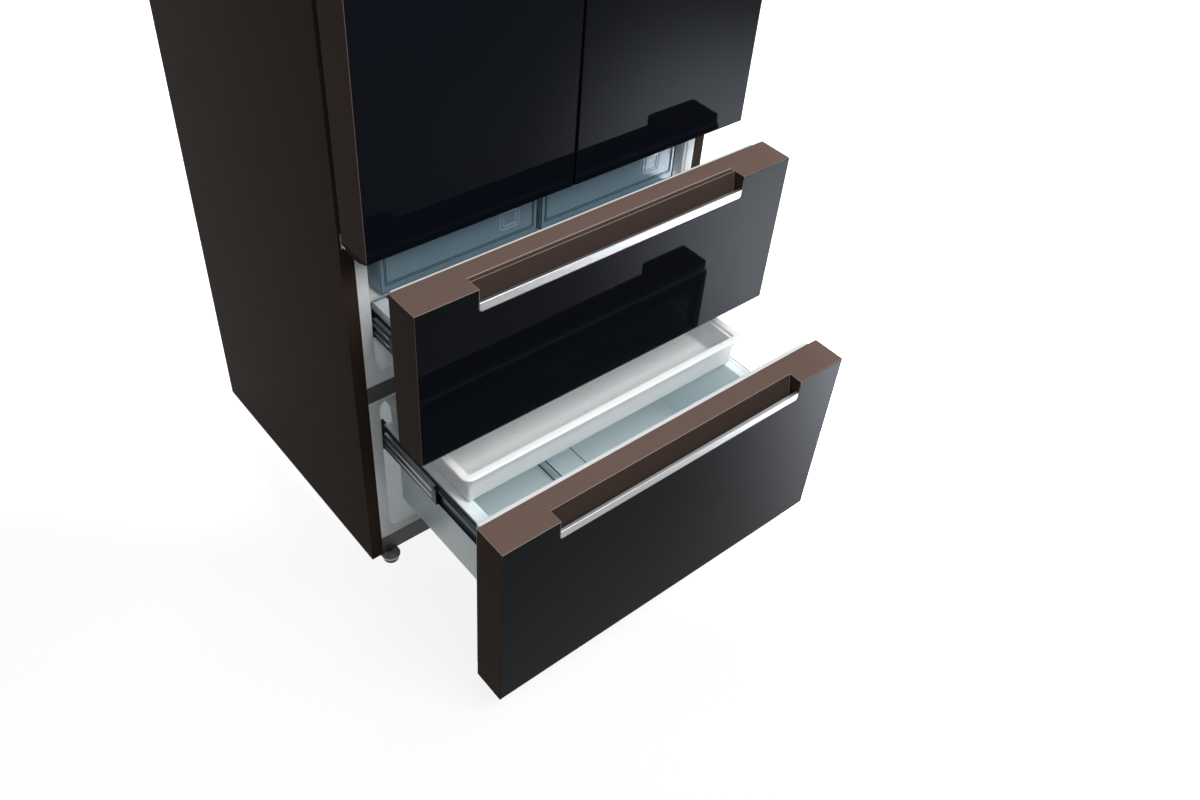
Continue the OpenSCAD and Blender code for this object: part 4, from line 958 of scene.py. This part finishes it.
# %% Inner panels
for level in LEVELS:
    lo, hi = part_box(level + "_inner_panel")
    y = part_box(level + "_seal")[0].y
    liner_lo, liner_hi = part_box(level + "_liner")
    sill, head = SILL_AND_HEAD[level]
    plug = (1 * MM - cavity_x, cavity_x - 1 * MM, liner_lo.z + sill + 12 * MM,
            liner_hi.z - head - 4 * MM)
    panel = Piece(level + "_inner_panel_shell")
    panel.add(plate((lo.x, hi.x, lo.z, hi.z), y - 3 * MM, y, 2 * MM, 0.5 * MM), flip=True)
    panel.add(plate(plug, y - 1 * MM, hi.y, 18 * MM, 4 * MM), flip=True)
    panel.done(level + "_drawer", panel_white, "liner_white", [level + "_inner_panel"])

# %% [markdown]
# ## Turned parts
# Feet, wheels and screws are profiles turned about an axis. A thread or a knurl could be cut
# with a Boolean. It is the same surface with a radius that also depends on the angle, though, so
# one formula gives the plain parts and these.

# %% Levelling feet
POLE = 0.1 * MM


def turned(profile, centre, axis, sides, ripple=None):
    """A surface of revolution: (r cos a, r sin a, h) about the axis. profile is (radius, height)
    pairs, and ripple(angle, height, radius) adds to the radius. A tip ends at the radius POLE."""
    r, h = (np.array(v)[:, None] for v in zip(*profile))
    a = np.linspace(0, 2 * math.pi, sides, endpoint=False)[None, :]
    r = r + (ripple(a, h, r) if ripple else 0 * a)
    p, q = r * np.cos(a), r * np.sin(a)
    h = np.broadcast_to(h, p.shape)
    order = {"z": (p, q, h), "x": (h, p, q), "y": (q, h, p)}[axis]
    return np.stack(order, -1) + np.array(centre)


def knurl(a, h, r):
    """16 soft waves, 0.7 mm to either side, on the rim of the foot's disc."""
    return np.where((h > 2.2 * MM) & (h < 10 * MM) & (r > 10 * MM), 0.7 * MM * np.cos(16 * a),
                    0 * a)


def thread(a, h, r):
    """A wave, 0.32 mm to either side, that climbs 1.75 mm in each turn."""
    return np.where(r > 1 * MM, 0.32 * MM * np.sin(2 * math.pi * h / (1.75 * MM) - a), 0 * a)


for side in SIDES:
    lo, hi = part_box(side + "_foot")
    centre = ((lo.x + hi.x) / 2, (lo.y + hi.y) / 2, 0)
    R = (hi.x - lo.x) / 2
    disc = [(POLE, 0), (R - 2.5 * MM, 0), (R - 1.2 * MM, 1 * MM), (R - 1.2 * MM, 2 * MM),
            (R - 0.9 * MM, 2.4 * MM), (R - 0.9 * MM, 9.6 * MM), (R - 1.6 * MM, 10.8 * MM),
            (R - 3 * MM, 11.4 * MM), (9 * MM, 12 * MM), (8 * MM, 11 * MM), (5 * MM, 11 * MM)]
    screw = [(4.05 * MM, z) for z in np.linspace(10 * MM, hi.z, 60)] + [(POLE, hi.z)]
    Piece(side + "_foot_turned").add(turned(disc, centre, "z", 96, knurl)).add(
        turned(screw, centre, "z", 24, thread)).done(
            side + "_foot", foot_dark, "foot_dark", [side + "_foot"])

# %% Screws in the grip pockets
SCREW_X_Z = {"middle": (284 * MM, 780 * MM), "lower": (288.5 * MM, 440.5 * MM)}
for level, (x, z) in SCREW_X_Z.items():
    wall_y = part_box(level + "_front_frame")[0].y + GRIP_DEPTH[level]
    Piece(level + "_grip_screw").add(turned(
        [(POLE, -1.9 * MM), (1.6 * MM, -1.8 * MM), (3 * MM, -1 * MM), (3.4 * MM, 0)],
        (x, wall_y + 0.2 * MM, z), "y", 24)).done(level + "_drawer", hinge_steel, "trim_silver")

# %% Rear wheels
lo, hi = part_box("rear_wheelset")
centre = (0, (lo.y + hi.y) / 2, (lo.z + hi.z) / 2)
R = (hi.z - lo.z) / 2
HALF_W = 9 * MM
axle = Piece("rear_wheels_turned")
axle.add(turned([(POLE, lo.x), (3.4 * MM, lo.x), (4 * MM, lo.x + 0.6 * MM),
                 (4 * MM, hi.x - 0.6 * MM), (3.4 * MM, hi.x), (POLE, hi.x)], centre, "x", 24))
half_tyre = [(4 * MM, 2 * MM - HALF_W), (8 * MM, -HALF_W), (R - 4 * MM, -HALF_W),
             (R - 1.5 * MM, 0.5 * MM - HALF_W), (R, 2 * MM - HALF_W), (R, -1.5 * MM),
             (R - 0.8 * MM, -1 * MM)]
tyre = half_tyre + [(r, -x) for r, x in reversed(half_tyre)]
for x in (-hi.x + 22 * MM, hi.x - 22 * MM):
    axle.add(turned([(r, x + across) for r, across in tyre], centre, "x", 48))
axle.done("wheelset", wheel_black, "wheel_black", ["rear_wheelset"])

# %% [markdown]
# ## Fans
# A blade is a thin curved sheet that twists from root to tip. Bending a plane with modifiers would
# hide the sizes, so it is a formula: with u from root to tip and v across the chord, the angle
# falls as u grows and the middle bows up, which is what pushes air.

# %% Fan rotors
def blade(root, tip, chord, thick, turn):
    """Points of one blade: radius = root + u (tip - root); the chord line's tilt falls from 50 to
    28 degrees; camber = 0.12 chord (1 - (2v)^2); the two skins lie thick apart."""
    u = np.linspace(0, 1, 9)[:, None]
    v = np.concatenate([np.linspace(-0.5, 0.5, 9), np.linspace(0.5, -0.5, 9)])[None, :]
    skin = np.where(np.arange(18) < 9, -0.5, 0.5)[None, :] * thick
    radius = root + u * (tip - root) + 0 * v
    tilt = np.radians(50 + u * (28 - 50))
    width = chord * (0.75 + 0.45 * u)
    camber = 0.12 * width * (1 - (2 * v) ** 2) + skin * np.sqrt(np.clip(1.02 - (2 * v) ** 2, 0, 1))
    along = v * width * np.cos(tilt) - camber * np.sin(tilt)
    lift = v * width * np.sin(tilt) + camber * np.cos(tilt)
    angle = turn + along / radius
    return np.stack([radius * np.cos(angle), radius * np.sin(angle), lift], -1)


def rotor(node, centre, depth, hub, shaft, finish, slot, towards):
    """A hub with five blades and a shaft, drawn about z and turned to face along y. centre is
    its x and z, hub and shaft are radii, and depth is the hub's length. towards is 1 where the
    hub's front looks to -y and -1 where it looks to +y."""
    lo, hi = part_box(node)
    length, tip = hi.y - lo.y, (hi.z - lo.z) / 2 - 0.5 * MM
    front = lo.y if towards > 0 else hi.y
    grids = [turned([(POLE, 0), (hub * 0.75, 0), (hub * 0.95, 1.5 * MM), (hub, 4 * MM),
                     (hub, depth), (hub - 1.5 * MM, depth), (2 * MM, depth - 1 * MM)],
                    (0, 0, 0), "z", 32)]
    grids += [blade(hub * 0.9, tip, hub * 1.15, 1.6 * MM, k * 2 * math.pi / 5)
              + np.array([0, 0, depth / 2]) for k in range(5)]
    grids.append(turned([(shaft, depth - 2 * MM), (shaft, length - 0.5 * MM),
                         (shaft * 0.6, length), (POLE, length)], (0, 0, 0), "z", 16))
    fan = Piece(node + "_rotor")
    for grid in grids:
        x, y, z = grid[..., 0], grid[..., 1], grid[..., 2]
        fan.add(np.stack([centre[0] + x, front + towards * z, centre[1] + y], -1),
                flip=towards > 0)
    fan.done(node, finish, slot, [node])


rotor("evaporator_fan", centre=(0, 727 * MM), depth=16 * MM, hub=14 * MM, shaft=2 * MM,
      finish=fan_white, slot="fan_white", towards=-1)
rotor("condenser_fan", centre=(-62 * MM, 150 * MM), depth=15 * MM, hub=18 * MM,
      shaft=2.5 * MM, finish=black_grain, slot="black_plastic", towards=1)

# %% [markdown]
# ## Tubes
# The condenser is one steel tube bent to and fro, held between upright wires. Blender's curves
# could draw it with a bevel, but a curve has no mesh to measure. So a path of points gives the
# centre line, and a circle is carried along it, square to the path: one of its axes is the fixed
# side direction, the other is that side crossed with the path's own direction.

# %% Tubes
def rounded_path(points, radius, steps=5):
    """A path through corner points, each corner replaced by a quadratic curve."""
    p = np.array(points, float)
    out = [p[:1]]
    for a, b, c in zip(p[:-2], p[1:-1], p[2:]):
        start = b + (a - b) / np.linalg.norm(a - b) * radius
        end = b + (c - b) / np.linalg.norm(c - b) * radius
        t = np.linspace(0, 1, steps)[:, None]
        out.append((1 - t) ** 2 * start + 2 * t * (1 - t) * b + t ** 2 * end)
    return np.concatenate(out + [p[-1:]])


def tube(path, radius, side, sides=12):
    """A round tube: point = path + radius (cos a side + sin a (direction x side))."""
    step = np.gradient(path, axis=0)
    step /= np.linalg.norm(step, axis=1, keepdims=True)
    across = np.array(side, float) - (step @ np.array(side, float))[:, None] * step
    across /= np.linalg.norm(across, axis=1, keepdims=True)
    other = np.cross(step, across)
    a = np.linspace(0, 2 * math.pi, sides, endpoint=False)[None, :, None]
    return path[:, None] + radius * (np.cos(a) * across[:, None] + np.sin(a) * other[:, None])


# %% Condenser
lo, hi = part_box("condenser")
COIL_R, PITCH, ROWS = 3 * MM, 26 * MM, 8
coil_y = lo.y + COIL_R
ends = [lo.x + PITCH / 2 + COIL_R, hi.x - PITCH / 2 - COIL_R]
first = hi.z - PITCH * ROWS
path = []
for i in range(ROWS):
    z = first + i * PITCH
    x0, x1 = ends if i % 2 == 0 else ends[::-1]
    path.append([[x0, coil_y, z], [x1, coil_y, z]])
    if i < ROWS - 1:
        t = np.linspace(-math.pi / 2, math.pi / 2, 12)[1:-1]
        out = PITCH / 2 if i % 2 == 0 else -PITCH / 2
        path.append(np.stack([x1 + out * np.cos(t), 0 * t + coil_y,
                              z + PITCH / 2 * (1 + np.sin(t))], -1))
coil = Piece("condenser_coil")
coil.add(tube(np.concatenate(path), COIL_R, (0, 1, 0)))
for x in np.arange(ends[0] + 8 * MM, ends[1], 12 * MM):
    for y in (coil_y - COIL_R + 0.2 * MM, coil_y + COIL_R - 0.2 * MM):
        coil.add(tube(np.array([[x, y, first - 6 * MM], [x, y, hi.z - PITCH + 6 * MM]]),
                      0.7 * MM, (0, 1, 0), 6))
for x in (lo.x + 54 * MM, lo.x + 244 * MM):
    coil.add(bar(x, x + 4 * MM, hi.y - 3 * MM, hi.y, lo.z, hi.z, 0.4 * MM))
coil.done("cabinet", black_enamel, "coil_black", ["condenser"])

# %% Pipes of the compressor
lo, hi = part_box("compressor")
cx, cy, top = (lo.x + hi.x) / 2, (lo.y + hi.y) / 2, hi.z
FOAM_Y = 372 * MM
# Corner points in mm from the middle of the compressor's top. A pipe whose y is None ends in the
# foam, at FOAM_Y.
routes = (
    [(30, 30, -20), (30, 30, 18), (120, 30, 18), (120, None, 18)],
    [(-30, 25, -20), (-30, 25, 30), (-30, None, 30)],
    [(-10, -35, -20), (-10, -35, 10)])
pipes = Piece("compressor_pipes")
for route in routes:
    points = [(cx + x * MM, FOAM_Y if y is None else cy + y * MM, top + z * MM)
              for x, y, z in route]
    pipes.add(tube(rounded_path(points, 14 * MM), 3 * MM, (0.3, 0.5, 0.8)))
pipes.done("cabinet", copper, "coil_black")

# %% [markdown]
# ## Covers and lamp
# Hinge covers and the lamp's lens are small mouldings with straight walls and one soft edge.
# They are the tub's outer walk alone: walls first, then the rounded top, or for the lens the
# rounded underside.

# %% Covers and lamp
lo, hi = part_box("hinge_covers")
SOFT_TOP = 8 * MM
cover = Piece("hinge_cover_caps")
for x0, x1 in mirrored(hi.x - 90 * MM, hi.x):
    box = (x0, x1, lo.y, hi.y)
    cover.add(loft([(*box, 9 * MM, lo.z + 0.2 * MM)] + [
        drawn_in(box, a, 9 * MM - a * 0.5, hi.z - SOFT_TOP + h) for a, h in arc(SOFT_TOP, 5)]))
cover.done("cabinet", cover_dark, "cover_dark", ["hinge_covers"])

lo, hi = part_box("interior_lamp")
Piece("interior_lamp_lens").add(loft([
    drawn_in((lo.x, hi.x, lo.y, hi.y), a, 12 * MM - a * 0.5, z) for a, z in
    ((6 * MM, lo.z), (2 * MM, lo.z + 1 * MM), (0, lo.z + 5 * MM), (0, hi.z))])).done(
        "cabinet", lamp_lens, "lamp_lens", ["interior_lamp"])

# %% [markdown]
# ## Floor
# The studio is a pale floor under a white surround. Glossy black glass shows what it mirrors, so
# the floor does half of the lighting: it is dark paper before the left corner and white paper to
# the right, and the fronts run from dark to bright across that line. A lit white floor alone
# would turn them grey all over. Where the paper is looked at or mirrored it glows nearly white,
# and wholly white far away, which hides the horizon.

# %% Studio floor
HALF_FLOOR = 30
DARK_PAPER, WHITE_PAPER = (0.12, 0.12, 0.12, 1), (0.93, 0.93, 0.935, 1)
NEAR_GLOW, FAR_GLOW = (0.87, 0.87, 0.87, 1), (1, 1, 1, 1)
EDGE_X, EDGE_Y = 0.3, -0.73
ACROSS_X, ACROSS_Y = 0.725, 0.688

ground = bpy.data.meshes.new("studio_floor")
ground.from_pydata([(x * HALF_FLOOR, y * HALF_FLOOR, 0) for x, y in
                    ((-1, -1), (1, -1), (1, 1), (-1, 1))], [], [(0, 1, 2, 3)])
pale = Finish("studio_pale", Roughness=1.0, Specular_IOR_Level=0.0, Emission_Strength=1.0)
looked_at, spot = pale.looked_at(), pale.split(pale.where)
right_of_line = (spot["X"] - EDGE_X) * ACROSS_X + (spot["Y"] - EDGE_Y) * ACROSS_Y
paper = pale.blend(pale.rising(right_of_line, -0.15, 0.45), DARK_PAPER, WHITE_PAPER)
far_off = pale.rising(spot["X"] * spot["X"] + spot["Y"] * spot["Y"], 2.2, 8.0)
glow = pale.blend(far_off, NEAR_GLOW, FAR_GLOW)
pale.drive(Base_Color=pale.blend(looked_at, DARK_PAPER, paper),
           Emission_Color=pale.blend(looked_at, (0, 0, 0, 1), glow))
floor = object_from("studio_floor", ground, pale)

# %% [markdown]
# ## Light
# One large lamp would light the top of the frames and leave the fronts' mirror empty. Three
# softboxes light the front and the top, one lamp the white paper that the glass mirrors, and one
# each the back and the left side. Dim strips light the basket and the compartments, which the
# fronts and the cabinet shade.

# %% Softboxes
def softbox(name, place, towards, size, watts, spread=180, colour=(1, 1, 1)):
    """An area lamp of size (width, depth) at place, aimed at towards."""
    data = bpy.data.lights.new(name, "AREA")
    data.spread, data.color = math.radians(spread), colour
    data.shape, data.size, data.size_y, data.energy = "RECTANGLE", *size, watts
    lamp = bpy.data.objects.new(name, data)
    lamp.location = place
    lamp.rotation_euler = (Vector(towards) - Vector(place)).to_track_quat("-Z", "Y").to_euler()
    bpy.context.scene.collection.objects.link(lamp)
    print("lamp:", name, watts, "W")


softbox("overhead", (0.6, -0.9, 3.6), (0, -0.3, 0.5), (2.2, 2.2), 46)
softbox("front", (0.3, -2.05, 2.95), (0, -0.3, 0.3), (1.3, 1.3), 72)
softbox("near_camera", (-1.0, -2.2, 2.4), (0, -0.3, 0.5), (1.4, 1.4), 13)
softbox("floor_pool", (1.48, -1.0, 0.95), (1.48, -1.0, 0), (1.5, 1.4), 84, 80, (0.84, 0.90, 1.0))
softbox("rear", (0.9, 3.5, 2.4), (0, 0.5, 0.9), (1.6, 1.6), 95)
softbox("left_side", (-3.2, 0.9, 2.0), (0, 0.2, 0.9), (1.6, 1.6), 11)
softbox("lower_compartment", (0, 0.12, 0.440), (0, 0.12, 0), (0.6, 0.3), 0.3)
softbox("basket", (0, -0.402, 0.356), (0, -0.402, 0), (0.62, 0.05), 0.11, 160, (0.90, 0.97, 1.0))
softbox("middle_compartment", (-0.345, 0.06, 0.596), (-0.345, 0.06, 0), (0.03, 0.28), 0.02)

# %% White surround
SURROUND_LIGHT = 0.08

world = bpy.data.worlds.new("surround")
world.use_nodes = True
bpy.context.scene.world = world
surround = Network(world.node_tree)
backdrop = world.node_tree.nodes["Background"].inputs
surround.fill(backdrop["Color"], (1, 1, 1, 1))
surround.fill(backdrop["Strength"],
              (1 - SURROUND_LIGHT) * surround.looked_at() + SURROUND_LIGHT)
bpy.context.scene.view_settings.view_transform = "Standard"
print("surround: white where it is looked at,", SURROUND_LIGHT, "of that as light")
